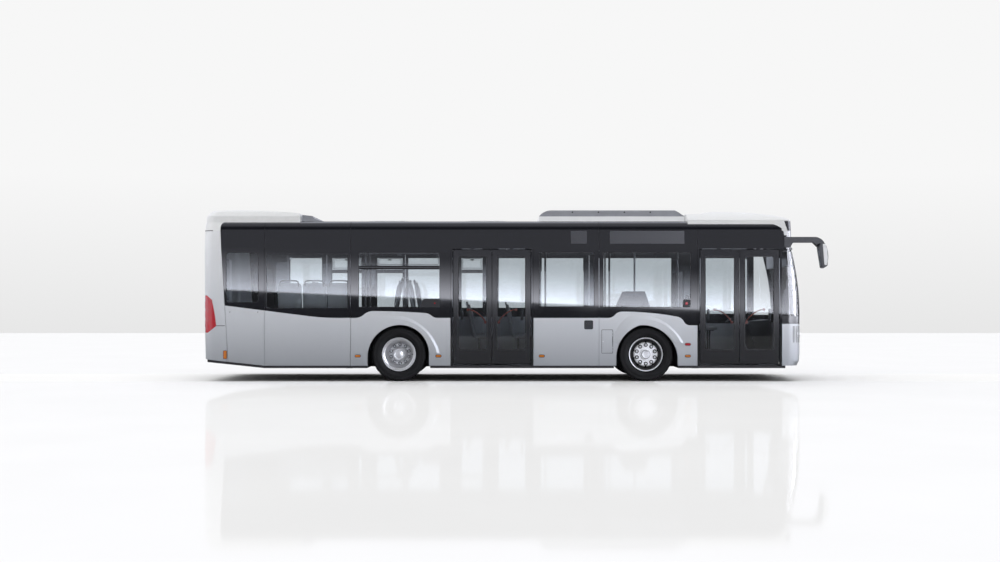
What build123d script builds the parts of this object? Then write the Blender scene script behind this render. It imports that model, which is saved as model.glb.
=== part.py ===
"""Short two-door low-floor city bus, modelled as its real panels, glass, axles, wheels and doors.

Millimetres. +X points forward, +Y to the bus's left, +Z up. The origin lies on the ground, at the
middle of the overall length (rear panel to mirror tips) and width. The doors are on the right (-Y).
"""

import os
from math import atan2, cos, pi, radians, sin, sqrt, tan

from build123d import *

# Driving dimensions: length
WHEELBASE = 4398.0
REAR_OVERHANG = 3508.0
FRONT_OVERHANG = 2841.0
MIRROR_REACH = 352.0  # mirror tips ahead of the front panel
BODY_LENGTH = REAR_OVERHANG + WHEELBASE + FRONT_OVERHANG
X_REAR = -(BODY_LENGTH + MIRROR_REACH) / 2
X_REAR_AXLE = X_REAR + REAR_OVERHANG
X_FRONT_AXLE = X_REAR_AXLE + WHEELBASE
X_FRONT = X_FRONT_AXLE + FRONT_OVERHANG

# Driving dimensions: width
BODY_WIDTH = 2550.0  # over the wheel arch flares
FLARE_DEPTH = 18.0
HALF = BODY_WIDTH / 2 - FLARE_DEPTH  # half width of the flat sides
WALL = 60.0
COVE_TAPER = 30.0  # the panels above the windows lean in by this much
SHUT_LINE = 6.0  # gap between neighbouring outer panels
GLASS = 10.0
GLASS_RECESS = 3.0

# Driving dimensions: height
Z_UNDERSIDE = 236.0
Z_SILL = 281.0
Z_FLOOR = 288.0
Z_BELT = 1128.0
Z_BELT_FRONT = 996.0
Z_HEADER = 2355.0
Z_CANT = 2680.0
ROOF_EDGE_RADIUS = 170.0
ROOF_EDGE_SLOPE = 5.0  # degrees, where the edge arc runs into the crown
ROOF_THICKNESS = 60.0

# Tyres 275/70 R22.5 on ten-stud disc wheels
TYRE_RADIUS = 479.0
TYRE_WIDTH = 275.0
FRONT_TRACK = 2130.0
REAR_TRACK = 1834.0  # between the middles of the twin wheels
TWIN_SPACING = 310.0
RIM_RADIUS = 300.0
RIM_WIDTH = 210.0
STUD_CIRCLE = 335.0
STUD_COUNT = 10
NUT_RADIUS = 17.0
NUT_HEIGHT = 26.0
HUB_RADIUS = 140.0
SPINDLE_RADIUS = 45.0
RUNNING_CLEARANCE = 0.3
KINGPIN_RADIUS = 24.0
KINGPIN_INSET = 105.0  # from the tyre's middle to the kingpin
STEERING_LOCK = 45.0

ROOF_EDGE_Y = HALF - COVE_TAPER - ROOF_EDGE_RADIUS  # centre of the roof edge arc
FAR = 20000.0
BEYOND = 100.0  # how far a cutting outline reaches past the body

pieces = {}


# Helpers for outlines in the side view (X, Z) and for slabs of the side walls


def side_prism(outline, y_low=-FAR, y_high=FAR):
    """A side-view face, drawn as (X, Z), stretched across the bus from y_low to y_high."""
    face = Plane.XZ * outline
    return Pos(0, y_high, 0) * extrude(face, amount=y_high - y_low, dir=(0, -1, 0))


def rectangle(x0, x1, z0, z1):
    """A side-view rectangle as a face in (X, Z)."""
    return Pos((x0 + x1) / 2, (z0 + z1) / 2) * Rectangle(x1 - x0, z1 - z0)


def rounded(x0, x1, z0, z1, radius):
    """A side-view rectangle with round corners."""
    return Pos((x0 + x1) / 2, (z0 + z1) / 2) * RectangleRounded(x1 - x0, z1 - z0, radius)


def block(x0, x1, y0, y1, z0, z1):
    """A plain box between two corners."""
    return Pos((x0 + x1) / 2, (y0 + y1) / 2, (z0 + z1) / 2) * Box(x1 - x0, y1 - y0, z1 - z0)


def wall(side, x0, x1, z0, z1, depth=WALL, recess=0.0):
    """A flat piece of side wall, depth thick, its outer face recess inside the body side."""
    outer = HALF - recess
    return block(x0, x1, *sorted((side * outer, side * (outer - depth))), z0, z1)


def y_cylinder(x, y0, y1, z, radius):
    """A cylinder along Y."""
    return Pos(x, (y0 + y1) / 2, z) * Rot(90, 0, 0) * Cylinder(radius, abs(y1 - y0))


def z_cylinder(x, y, z0, z1, radius):
    """A cylinder along Z."""
    return Pos(x, y, (z0 + z1) / 2) * Cylinder(radius, z1 - z0)


def revolve_y(points, x=0.0, y=0.0, z=0.0, side=1):
    """A solid turned about the Y axis from (radius, outward) points, outward being along side."""
    face = make_face(Polyline(*[(r, side * out) for r, out in points], close=True))
    return Pos(x, y, z) * revolve(face, Axis.Y)


def round_pattern(count, radius, x, z):
    """The (x, z) places of count things on a circle about an axle."""
    for i in range(count):
        turn = 2 * pi * i / count
        yield x + radius * sin(turn), z + radius * cos(turn)


# Plan outlines of the rounded ends: a straight cut, two sides, two corner arcs and a bowed end


def end_outline(z, half, tip, cut, corner, bow, forward=1):
    """A D-shaped plan outline at height z, from a straight cut to a bowed end whose middle is at tip."""
    centre = tip - forward * bow
    corner_y = half - corner
    corner_x = centre + forward * sqrt((bow - corner) ** 2 - corner_y**2)
    turn = atan2(corner_y, abs(corner_x - centre))
    bow_x = centre + forward * bow * cos(turn)
    bow_y = bow * sin(turn)
    mid = (turn + pi / 2) / 2
    mid_x = corner_x + forward * corner * cos(mid)
    mid_y = corner_y + corner * sin(mid)
    edges = [
        Line((cut, -half), (corner_x, -half)),
        ThreePointArc((corner_x, -half), (mid_x, -mid_y), (bow_x, -bow_y)),
        ThreePointArc((bow_x, -bow_y), (tip, 0), (bow_x, bow_y)),
        ThreePointArc((bow_x, bow_y), (mid_x, mid_y), (corner_x, half)),
        Line((corner_x, half), (cut, half)),
        Line((cut, half), (cut, -half)),
    ]
    return Pos(0, 0, z) * make_face(edges)


def end_solid(sections, end, cut, bow, forward, inset=0.0, ruled=True):
    """A body end lofted through (z, half width, set-back, corner radius) sections, moved in by inset."""
    faces = []
    for z, half, back, corner in sections:
        tip = end - forward * (back + inset)
        faces.append(end_outline(z, half - inset, tip, cut, corner - inset, bow - inset, forward))
    return loft(faces, ruled=ruled)


FRONT_BOW = 8000.0
REAR_BOW = 20000.0
REAR_CORNER = 170.0
Z_SCREEN_MIDDLE = (Z_BELT + Z_HEADER) / 2
# columns: z, half width, set-back of the panel's middle, corner radius
FRONT_LOW = (
    (Z_SILL, HALF, 60.0, 190.0),
    (360.0, HALF, 18.0, 225.0),
    (480.0, HALF, 4.0, 240.0),
    (Z_BELT, HALF, 0.0, 245.0),
)
FRONT_SCREEN = (
    (Z_BELT, HALF, 0.0, 245.0),
    (Z_SCREEN_MIDDLE, HALF, 38.0, 210.0),
    (Z_HEADER, HALF, 163.0, 100.0),
)
FRONT_TOP = ((Z_HEADER, HALF, 163.0, 100.0), (Z_CANT, HALF - COVE_TAPER, 165.0, 100.0))
REAR_LOW = (
    (Z_SILL, HALF, 45.0, REAR_CORNER),
    (400.0, HALF, 18.0, REAR_CORNER),
    (900.0, HALF, 6.0, REAR_CORNER),
    (Z_HEADER, HALF, 0.0, REAR_CORNER),
)
REAR_TOP = ((Z_HEADER, HALF, 0.0, REAR_CORNER), (Z_CANT, HALF - COVE_TAPER, 6.0, REAR_CORNER))
X_FRONT_CUT = X_FRONT - 700.0
X_REAR_CUT = X_REAR + 700.0


def front_end(sections, inset=0.0, ruled=True):
    """A stretch of the front end, all its sides moved in by inset."""
    return end_solid(sections, X_FRONT, X_FRONT_CUT, FRONT_BOW, 1, inset, ruled)


def rear_end(sections, inset=0.0):
    """A stretch of the rear end, all its sides moved in by inset."""
    return end_solid(sections, X_REAR, X_REAR_CUT, REAR_BOW, -1, inset)


# Roof section, in the front view (Y, Z)


def roof_edge_point(radius, angle):
    """A point on the roof edge arc, angle in degrees above the horizontal."""
    turn = radians(angle)
    return ROOF_EDGE_Y + radius * cos(turn), Z_CANT + radius * sin(turn)


def crown_height(radius):
    """Height of the roof's middle, for an edge arc of this radius."""
    y, z = roof_edge_point(radius, 90 - ROOF_EDGE_SLOPE)
    return z + y * tan(radians(ROOF_EDGE_SLOPE / 2))


ROOF_TOP = crown_height(ROOF_EDGE_RADIUS)


def along_x(face, x0, x1):
    """A front-view face, drawn as (Y, Z), stretched from x0 to x1."""
    return Pos(x0, 0, 0) * extrude(Plane.YZ * face, amount=x1 - x0)


def cove_section(side):
    """Section of the panel above the windows with the round roof edge, on one side."""
    inner = ROOF_EDGE_RADIUS - ROOF_THICKNESS
    last = 90 - ROOF_EDGE_SLOPE
    foot_out, foot_in = (HALF, Z_HEADER), (HALF - ROOF_THICKNESS, Z_HEADER)
    out = [roof_edge_point(ROOF_EDGE_RADIUS, a) for a in (0, last / 2, last)]
    back = [roof_edge_point(inner, a) for a in (last, last / 2, 0)]
    points = [[(side * y, z) for y, z in group] for group in ([foot_out], out, back, [foot_in])]
    (foot_out,), out, back, (foot_in,) = points
    edges = [
        Line(foot_out, out[0]),
        ThreePointArc(*out),
        Line(out[2], back[0]),
        ThreePointArc(*back),
        Line(back[2], foot_in),
        Line(foot_in, foot_out),
    ]
    return make_face(edges)


def crown_section(radius, thickness):
    """Section of the roof skin between the two edge arcs."""
    last = 90 - ROOF_EDGE_SLOPE
    y, z = roof_edge_point(radius, last)
    y_in, z_in = roof_edge_point(radius - thickness, last)
    edges = [
        ThreePointArc((y, z), (0, crown_height(radius)), (-y, z)),
        Line((-y, z), (-y_in, z_in)),
        ThreePointArc((-y_in, z_in), (0, crown_height(radius - thickness)), (y_in, z_in)),
        Line((y_in, z_in), (y, z)),
    ]
    return make_face(edges)


def roof_body_section():
    """Everything under the roof's outer line, used to seat what stands on the roof."""
    last = 90 - ROOF_EDGE_SLOPE
    out = [roof_edge_point(ROOF_EDGE_RADIUS, a) for a in (0, last / 2, last)]
    left = [(-y, z) for y, z in reversed(out)]
    edges = [
        Line((-HALF, Z_HEADER), (HALF, Z_HEADER)),
        Line((HALF, Z_HEADER), out[0]),
        ThreePointArc(*out),
        ThreePointArc(out[2], (0, ROOF_TOP), left[0]),
        ThreePointArc(*left),
        Line(left[2], (-HALF, Z_HEADER)),
    ]
    return make_face(edges)


# Places along the side

X_QUARTER_TOP = X_REAR + 335.0  # rear corner panel meets the side, at the roof edge
X_QUARTER_FOOT = X_REAR + 480.0  # the same joint at the sill
X_SEAM_1 = X_REAR_AXLE - 2386.0
X_SEAM_2 = X_REAR_AXLE - 857.0
X_DOOR_2 = (X_REAR_AXLE + 922.0, X_REAR_AXLE + 2393.0)
X_SEAM_3 = X_FRONT_AXLE - 839.0
X_PILLAR = X_FRONT_AXLE + 2412.0  # the windscreen starts here
X_DOOR_1 = (X_FRONT_AXLE + 910.0, X_PILLAR - SHUT_LINE)
X_CAP = X_FRONT_AXLE + 748.0  # the front roof dome starts here
DOOR_POST = 36.0
WINDSCREEN_FOOT = 1022.0
WINDSCREEN_TOP = 2372.0


def x_quarter(z):
    """The slanted joint between rear corner panel and side, at height z."""
    share = (z - Z_SILL) / (Z_CANT - Z_SILL)
    return X_QUARTER_FOOT + share * (X_QUARTER_TOP - X_QUARTER_FOOT)


# Belt line: where the silver skirt meets the dark window band

BELT_REAR_ANGLE = 7.2  # degrees, the belt climbs towards the rear
BELT_REAR_BLEND = 4000.0
BELT_REAR_END = X_REAR_AXLE - 1095.0
# axle, rise start, rise end, crest height, fall start, height there, fall end, height at the end
BELT_BUMPS = (
    (X_REAR_AXLE, -775.0, -455.0, 1250.0, 468.0, 1215.0, 690.0, Z_BELT),
    (X_FRONT_AXLE, -679.0, -431.0, 1240.0, 546.0, 1151.0, 777.0, Z_BELT_FRONT),
)


def belt_edges():
    """The belt line from the rear corner to the front, as lines and arcs in (X, Z)."""
    climb = radians(BELT_REAR_ANGLE)
    blend = (BELT_REAR_END - BELT_REAR_BLEND * sin(climb), Z_BELT + BELT_REAR_BLEND * (1 - cos(climb)))
    rear = (X_REAR - BEYOND, blend[1] + (blend[0] - X_REAR + BEYOND) * tan(climb))
    edges = [Line(rear, blend), TangentArc((BELT_REAR_END, Z_BELT), blend, tangent=(-1, 0))]
    last = (BELT_REAR_END, Z_BELT)
    for axle, rise_0, rise_1, crest, fall_0, fall_z, fall_1, end_z in BELT_BUMPS:
        start, top = (axle + rise_0, Z_BELT), (axle + rise_1, crest)
        drop, end = (axle + fall_0, fall_z), (axle + fall_1, end_z)
        mid_rise = ((start[0] + top[0]) / 2, (start[1] + top[1]) / 2)
        mid_fall = ((drop[0] + end[0]) / 2, (drop[1] + end[1]) / 2)
        crest_arc = TangentArc(top, drop, tangent=(1, 0))
        edges += [
            Line(last, start),
            TangentArc(start, mid_rise, tangent=(1, 0)),
            TangentArc(top, mid_rise, tangent=(-1, 0)),
            crest_arc,
            TangentArc(drop, mid_fall, tangent=crest_arc % 1),
            TangentArc(end, mid_fall, tangent=(-1, 0)),
        ]
        last = end
    edges.append(Line(last, (X_FRONT + BEYOND, last[1])))
    return edges, rear, (X_FRONT + BEYOND, last[1])


def below_belt():
    """Side-view face of everything below the belt line."""
    edges, rear, front = belt_edges()
    foot = 0.0
    edges += [
        Line(front, (front[0], foot)),
        Line((front[0], foot), (rear[0], foot)),
        Line((rear[0], foot), rear),
    ]
    return make_face(edges)


BELOW_BELT = side_prism(below_belt())

# Wheel arches, x from the axle
# columns: axle x, rear x, rear shoulder (x, z), crown (x, z), front shoulder (x, z), front x, spring height
ARCHES = (
    (X_REAR_AXLE, -555.0, (-385.0, 836.0), (-83.0, 993.0), (379.0, 863.0), 539.0, 450.0),
    (X_FRONT_AXLE, -532.0, (-377.0, 830.0), (-111.0, 1000.0), (330.0, 858.0), 562.0, 430.0),
)
# Raised flares over the arches, x from the axle: a blister that grows out of the skirt and ends in a crest
# columns: rear x, rear shoulder (x, z), top (x, z), front shoulder (x, z), front x, spring height
FLARE_FOOT = (-585.0, (-530.0, 940.0), (-330.0, 1160.0), (478.0, 940.0), 745.0, 420.0)
FLARE_RIM = (-420.0, (-350.0, 930.0), (-140.0, 1100.0), (452.0, 905.0), 690.0, 420.0)
FLARE_ENDS = (500.0, 690.0)  # the flares of the rear and front arches run out at these heights


def arch_face(axle, rear, rear_mid, crown, front_mid, front, spring, foot=0.0):
    """Side-view face of one wheel arch opening."""

    def at(point):
        return axle + point[0], point[1]

    edges = [
        Line((axle + rear, foot), (axle + rear, spring)),
        ThreePointArc((axle + rear, spring), at(rear_mid), at(crown)),
        ThreePointArc(at(crown), at(front_mid), (axle + front, spring)),
        Line((axle + front, spring), (axle + front, foot)),
        Line((axle + front, foot), (axle + rear, foot)),
    ]
    return make_face(edges)


def flare(side, axle, low):
    """The raised flare of one arch, lofted from its foot on the skirt to its rim and ending at height low."""
    foot = Plane.XZ * arch_face(axle, *FLARE_FOOT, Z_SILL)
    rim = Plane.XZ * arch_face(axle, *FLARE_RIM, Z_SILL)
    ends = [Pos(0, side * (HALF - 1.0), 0) * foot, Pos(0, side * (HALF + FLARE_DEPTH), 0) * rim]
    return loft(ends, ruled=True) & BELOW_BELT & block(-FAR, FAR, -FAR, FAR, low, FAR)


ARCH_CUTS = [side_prism(arch_face(*row)) for row in ARCHES]

# Skirt panels: silver, below the belt, one solid per panel, with shut lines between them
# columns: from x, to x
RIGHT_SKIRTS = (
    (None, X_SEAM_1),
    (X_SEAM_1, X_SEAM_2),
    (X_SEAM_2, X_DOOR_2[0]),
    (X_DOOR_2[1], X_SEAM_3),
    (X_SEAM_3, X_DOOR_1[0]),
)
LEFT_SKIRTS = (
    (None, X_SEAM_1),
    (X_SEAM_1, X_SEAM_2),
    (X_SEAM_2, X_DOOR_2[0]),
    (X_DOOR_2[0], X_DOOR_2[1]),
    (X_DOOR_2[1], X_SEAM_3),
    (X_SEAM_3, X_DOOR_1[0]),
    (X_DOOR_1[0], X_PILLAR),
)
TAIL_RISE = ((X_SEAM_1, Z_SILL), (X_REAR, Z_SILL + 119.0))  # the underside climbs to the rear


BAND_CORNER = 96.0  # round upper rear corner of the dark band
Z_BAND_CORNER = Z_CANT + 80.0


def quarter_cut(gap):
    """Side-view face behind the slanted rear corner joint, moved forward by gap; its top corner is round."""
    far_x = X_REAR - 500.0
    foot, start = (x_quarter(0.0) + gap, 0.0), (x_quarter(Z_BAND_CORNER) + gap, Z_BAND_CORNER)
    end = (start[0] + BAND_CORNER, Z_BAND_CORNER + BAND_CORNER)
    bend = BAND_CORNER * (1 - sqrt(0.5))
    edges = [
        Line(foot, start),
        ThreePointArc(start, (start[0] + bend, end[1] - bend), end),
        Line(end, (end[0], 2 * Z_CANT)),
        Line((end[0], 2 * Z_CANT), (far_x, 2 * Z_CANT)),
        Line((far_x, 2 * Z_CANT), (far_x, 0.0)),
        Line((far_x, 0.0), foot),
    ]
    return make_face(edges)


def tail_cut(drop=0.0):
    """Side-view face under the rising underside of the tail, lowered by drop."""
    (x0, z0), (x1, z1) = TAIL_RISE
    slope = (z1 - z0) / (x1 - x0)
    far_x = X_REAR - 300
    points = [(x0, z0 - drop), (far_x, z0 - drop + slope * (far_x - x0)), (far_x, -300), (x0, -300)]
    return make_face(Polyline(*points, close=True))


REAR_OF_QUARTER = side_prism(quarter_cut(0.0))
REAR_OF_QUARTER_GAP = side_prism(quarter_cut(SHUT_LINE))
UNDER_TAIL = side_prism(tail_cut())

FILLER = (X_SEAM_3 + 45.0, X_SEAM_3 + 242.0, 500.0, 920.0)  # fuel filler flap, x and z limits
FLAP_DEPTH = 14.0


def skirt_panels(side, table):
    """The silver skirt panels of one side."""
    panels = []
    for x0, x1 in table:
        start = X_REAR if x0 is None else x0 + SHUT_LINE / 2
        panel = wall(side, start, x1 - SHUT_LINE / 2, Z_SILL, Z_HEADER) & BELOW_BELT
        if x0 is None:
            panel = panel - REAR_OF_QUARTER_GAP - UNDER_TAIL
        for row, cut, low in zip(ARCHES, ARCH_CUTS, FLARE_ENDS):
            if start < row[0] < x1:
                panel = (panel + flare(side, row[0], low)) - cut
        panels.append(panel)
    return panels


def as_one(solids):
    """Several loose solids as one compound for one node."""
    flat = []
    for solid in solids:
        flat += solid.solids()
    return Compound(children=flat) if len(flat) > 1 else flat[0]


# Fuel filler flap in the skirt behind the front wheel, hinged along its front edge
FILLER_CLEAR = 5.0
FILLER_PIN = 2.5
FILLER_BARREL = 5.0
FILLER_HINGE_X = FILLER[1] - FILLER_BARREL - 1.0
FILLER_HINGE_Y = -(HALF + 1.0)
FILLER_HINGES = (FILLER[2] + 80.0, FILLER[3] - 80.0)
BARREL_HALF = 20.0


def filler_flap():
    """The flap with its two hinge barrels."""
    x0, x1, z0, z1 = FILLER
    edge = FILLER_HINGE_X - FILLER_BARREL
    flap = wall(-1, x0 + FILLER_CLEAR, edge, z0 + FILLER_CLEAR, z1 - FILLER_CLEAR, depth=FLAP_DEPTH)
    for z in FILLER_HINGES:
        low, high = z - BARREL_HALF, z + BARREL_HALF
        flap = flap + z_cylinder(FILLER_HINGE_X, FILLER_HINGE_Y, low, high, FILLER_BARREL)
        flap = flap + block(edge - FILLER_CLEAR, FILLER_HINGE_X, -HALF - 3.0, -HALF + 6.0, low, high)
        bore = FILLER_PIN + RUNNING_CLEARANCE
        flap = flap - z_cylinder(FILLER_HINGE_X, FILLER_HINGE_Y, low - 1, high + 1, bore)
    return flap


def filler_lugs(z):
    """The pin and two lugs on the skirt that hold one barrel of the filler flap."""
    reach = BARREL_HALF + 2.0
    lugs = z_cylinder(FILLER_HINGE_X, FILLER_HINGE_Y, z - reach - 12, z + reach + 12, FILLER_PIN)
    for low in (z - reach - 12, z + reach):
        lugs = lugs + z_cylinder(FILLER_HINGE_X, FILLER_HINGE_Y, low, low + 12, FILLER_BARREL)
        lugs = lugs + block(FILLER_HINGE_X, FILLER[1] + 12, -HALF - 4.0, -HALF + 6.0, low, low + 12)
    return lugs


right_skirts = skirt_panels(-1, RIGHT_SKIRTS)
right_skirts[4] = right_skirts[4] - wall(-1, *FILLER, depth=FLAP_DEPTH + 12.0)
for z in FILLER_HINGES:
    right_skirts[4] = right_skirts[4] + filler_lugs(z)
pieces["filler_flap"] = filler_flap()
pieces["skirt_panels_right"] = as_one(right_skirts)
pieces["skirt_panels_left"] = as_one(skirt_panels(1, LEFT_SKIRTS))

# Window band: dark panels between belt and header, one per bay, each with its window cut out
# columns: from x, to x, window from x, to x, from z, to z, corner radius; None for a bay without a window
WINDOW_TOP = 2293.0
WINDOW_FOOT = 1298.0
RIGHT_BAYS = (
    (None, X_SEAM_1, X_REAR + 440.0, X_SEAM_1 - 100.0, 1400.0, WINDOW_TOP, 60.0),
    (X_SEAM_1, X_SEAM_2, X_SEAM_1 + 30.0, X_SEAM_2 - 45.0, WINDOW_FOOT, WINDOW_TOP - 25.0, 12.0),
    (X_SEAM_2, X_DOOR_2[0], X_SEAM_2 + 145.0, X_DOOR_2[0] - 190.0, WINDOW_FOOT + 20.0, WINDOW_TOP, 12.0),
    (X_DOOR_2[1], X_SEAM_3, X_DOOR_2[1] + 100.0, X_SEAM_3 - 85.0, WINDOW_FOOT + 30.0, WINDOW_TOP, 12.0),
    (X_SEAM_3, X_DOOR_1[0], X_SEAM_3 + 72.0, X_DOOR_1[0] - 120.0, WINDOW_FOOT + 20.0, WINDOW_TOP, 12.0),
)
X_POST_1 = X_SEAM_1 + 768.0  # posts between the windows of the left side
X_POST_2 = X_REAR_AXLE - 69.0
X_POST_3 = X_DOOR_2[0] + 695.0
LEFT_BAYS = (
    (None, X_SEAM_1, None, None, None, None, None),
    (X_SEAM_1, X_POST_1, X_SEAM_1 + 32.0, X_POST_1 - 95.0, WINDOW_FOOT, WINDOW_TOP, 12.0),
    (X_POST_1, X_SEAM_2, X_POST_1 + 95.0, X_SEAM_2 - 73.0, WINDOW_FOOT, WINDOW_TOP, 12.0),
    (X_SEAM_2, X_POST_2, X_SEAM_2 + 224.0, X_POST_2 - 50.0, WINDOW_FOOT + 20.0, WINDOW_TOP, 12.0),
    (X_POST_2, X_DOOR_2[0], X_POST_2 + 50.0, X_DOOR_2[0] - 102.0, WINDOW_FOOT + 20.0, WINDOW_TOP, 12.0),
    (X_DOOR_2[0], X_POST_3, X_DOOR_2[0] + 113.0, X_POST_3 - 153.0, WINDOW_FOOT, WINDOW_TOP, 12.0),
    (X_POST_3, X_DOOR_2[1], X_POST_3 + 153.0, X_DOOR_2[1] - 91.0, WINDOW_FOOT, WINDOW_TOP, 12.0),
    (X_DOOR_2[1], X_SEAM_3, X_DOOR_2[1] + 216.0, X_SEAM_3 - 98.0, WINDOW_FOOT, WINDOW_TOP, 12.0),
    (X_SEAM_3, X_DOOR_1[0], X_SEAM_3 + 100.0, X_DOOR_1[0] - 114.0, WINDOW_FOOT + 20.0, WINDOW_TOP, 12.0),
    (X_DOOR_1[0], X_PILLAR, X_DOOR_1[0] + 480.0, X_PILLAR - 120.0, 1180.0, WINDOW_TOP, 60.0),
)


def window_bays(side, table):
    """The dark bay panels of one side and the glass panes that fill their windows."""
    bays, panes = [], []
    for x0, x1, w0, w1, low, high, radius in table:
        start = X_REAR if x0 is None else x0 + SHUT_LINE / 2
        bay = wall(side, start, x1 - SHUT_LINE / 2, Z_SILL, Z_HEADER) - BELOW_BELT
        if x0 is None:
            bay = bay - REAR_OF_QUARTER_GAP
        if w0 is None:
            bays.append(bay)
            continue
        window = side_prism(rounded(w0, w1, low, high, radius))
        bays.append(bay - window)
        panes.append(wall(side, w0, w1, low, high, depth=GLASS, recess=GLASS_RECESS) & window)
    return bays, panes


right_bays, right_panes = window_bays(-1, RIGHT_BAYS)
left_bays, left_panes = window_bays(1, LEFT_BAYS)
pieces["window_band_right"] = as_one(right_bays)
pieces["window_band_left"] = as_one(left_bays)
pieces["side_glass_right"] = as_one(right_panes)
pieces["side_glass_left"] = as_one(left_panes)

# Cove panels above windows and doors, with the round roof edge
COVE_SEAMS = (None, X_SEAM_1, X_SEAM_2, X_SEAM_3, X_DOOR_1[0], X_PILLAR)


def cove_panels(side):
    """Dark panels between header and roof skin of one side."""
    panels = []
    for x0, x1 in zip(COVE_SEAMS, COVE_SEAMS[1:]):
        start = X_REAR if x0 is None else x0 + SHUT_LINE / 2
        end = x1 if x1 == X_PILLAR else x1 - SHUT_LINE / 2
        panel = along_x(cove_section(side), start, end)
        if x0 is None:
            panel = panel - REAR_OF_QUARTER_GAP
        panels.append(panel)
    return panels


pieces["cove_panels_right"] = as_one(cove_panels(-1))
pieces["cove_panels_left"] = as_one(cove_panels(1))

# Roof skin between the cove panels
roof_skin = along_x(crown_section(ROOF_EDGE_RADIUS, ROOF_THICKNESS), X_REAR, X_PILLAR) - REAR_OF_QUARTER_GAP
pieces["roof_skin"] = roof_skin

ROOF_BODY = along_x(roof_body_section(), X_REAR - 10.0, X_PILLAR) - side_prism(quarter_cut(0.0))

# Rear end: corner panels and rear wall, with rear window, engine flap and tail lamps let in
LENS = 28.0
rear_low = rear_end(REAR_LOW)
rear_wall = (rear_low - rear_end(REAR_LOW, WALL)) & REAR_OF_QUARTER
rear_skin = rear_low - rear_end(REAR_LOW, LENS)
REAR_GLASS = (1450.0, 2250.0, 900.0)  # low, high, half width
REAR_GLASS_CORNER = 70.0
rear_window_face = Pos(0, (REAR_GLASS[0] + REAR_GLASS[1]) / 2) * RectangleRounded(
    2 * REAR_GLASS[2], REAR_GLASS[1] - REAR_GLASS[0], REAR_GLASS_CORNER)
rear_window_prism = along_x(rear_window_face, X_REAR - 50.0, X_REAR + 300.0)
ENGINE_FLAP = (470.0, 1290.0, 780.0)  # low, high, half width
FLAP_GAP = 8.0
FLAP_TOP_GAP = 18.0
FLAP_HINGE_Y = 450.0
FLAP_BARREL = (8.0, 4.0, 60.0)  # hinge barrel: radius, pin radius, length
FLAP_HINGE_X = X_REAR + FLAP_BARREL[0]
FLAP_HINGE_Z = ENGINE_FLAP[1] + FLAP_BARREL[0] + 1.0
LUG = 20.0
LUG_GAP = 3.0


def flap_prism(grow, grow_top):
    """The engine flap's outline through the rear wall, grown by a gap on every side."""
    low, high, half = ENGINE_FLAP
    return block(X_REAR - 60.0, X_REAR + 300.0, -half - grow, half + grow, low - grow, high + grow_top)


def flap_barrel(y):
    """One hinge barrel of the engine flap, with the tab that carries it."""
    radius, pin, length = FLAP_BARREL
    barrel = y_cylinder(FLAP_HINGE_X, y - length / 2, y + length / 2, FLAP_HINGE_Z, radius)
    tab = block(FLAP_HINGE_X - radius / 2, FLAP_HINGE_X + LUG, y - length / 2, y + length / 2,
                ENGINE_FLAP[1] - LUG / 2, FLAP_HINGE_Z)
    bore = y_cylinder(FLAP_HINGE_X, y - length, y + length, FLAP_HINGE_Z, pin + RUNNING_CLEARANCE)
    return barrel + tab - bore


def flap_lugs(y):
    """The pin and two lugs on the rear wall that hold one hinge barrel."""
    radius, pin, length = FLAP_BARREL
    reach = length / 2 + LUG_GAP
    lugs = y_cylinder(FLAP_HINGE_X, y - reach - LUG, y + reach + LUG, FLAP_HINGE_Z, pin)
    for edge in (y - reach - LUG, y + reach):
        lugs = lugs + y_cylinder(FLAP_HINGE_X, edge, edge + LUG, FLAP_HINGE_Z, radius)
        lugs = lugs + block(FLAP_HINGE_X - radius / 2, FLAP_HINGE_X + 2 * LUG, edge, edge + LUG, FLAP_HINGE_Z,
                            FLAP_HINGE_Z + 2 * LUG)
    return lugs


# tail lamp outline in the side view: distance from the rear end and height
LAMP_OUTLINE = (
    (-60.0, 1530.0), (95.0, 1530.0), (193.0, 1450.0), (247.0, 1170.0), (268.0, 985.0), (117.0, 865.0),
    (-60.0, 865.0),
)
LAMP_INNER = HALF - 190.0  # the lamps wrap round the corner to here
lamp_prism = side_prism(make_face(Polyline(*[(X_REAR + x, z) for x, z in LAMP_OUTLINE], close=True)))
lamp_zones = [lamp_prism & block(X_REAR - BEYOND, X_QUARTER_FOOT, *ys, Z_SILL, Z_HEADER)
              for ys in ((LAMP_INNER, BODY_WIDTH), (-BODY_WIDTH, -LAMP_INNER))]
lamp_lenses = [rear_skin & zone for zone in lamp_zones]
rear_panel = rear_wall - UNDER_TAIL - rear_window_prism - flap_prism(FLAP_GAP, FLAP_TOP_GAP)
engine_flap = rear_skin & flap_prism(0.0, 0.0)
LOUVRE = (26.0, 9.0, 560.0)  # height, depth, half length
LOUVRE_PITCH = 58.0
LOUVRE_COUNT = 9
louvre_skin = rear_low - rear_end(REAR_LOW, LOUVRE[1])
for i in range(LOUVRE_COUNT):
    low = ENGINE_FLAP[0] + LOUVRE_PITCH * (i + 1)
    slot = block(X_REAR - BEYOND, X_REAR + BEYOND, -LOUVRE[2], LOUVRE[2], low, low + LOUVRE[0])
    engine_flap = engine_flap - (louvre_skin & slot)
for lens in lamp_lenses:
    rear_panel = rear_panel - lens
for y in (-FLAP_HINGE_Y, FLAP_HINGE_Y):
    rear_panel = rear_panel + flap_lugs(y)
    engine_flap = engine_flap + flap_barrel(y)
pieces["rear_panel"] = as_one([rear_panel])
pieces["tail_lamps"] = as_one(lamp_lenses)
pieces["rear_window"] = as_one([(rear_low - rear_end(REAR_LOW, GLASS)) & rear_window_prism])
pieces["engine_flap"] = as_one([engine_flap])
rear_top = rear_end(REAR_TOP)
pieces["rear_header"] = as_one([(rear_top - rear_end(REAR_TOP, WALL)) & REAR_OF_QUARTER])

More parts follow.
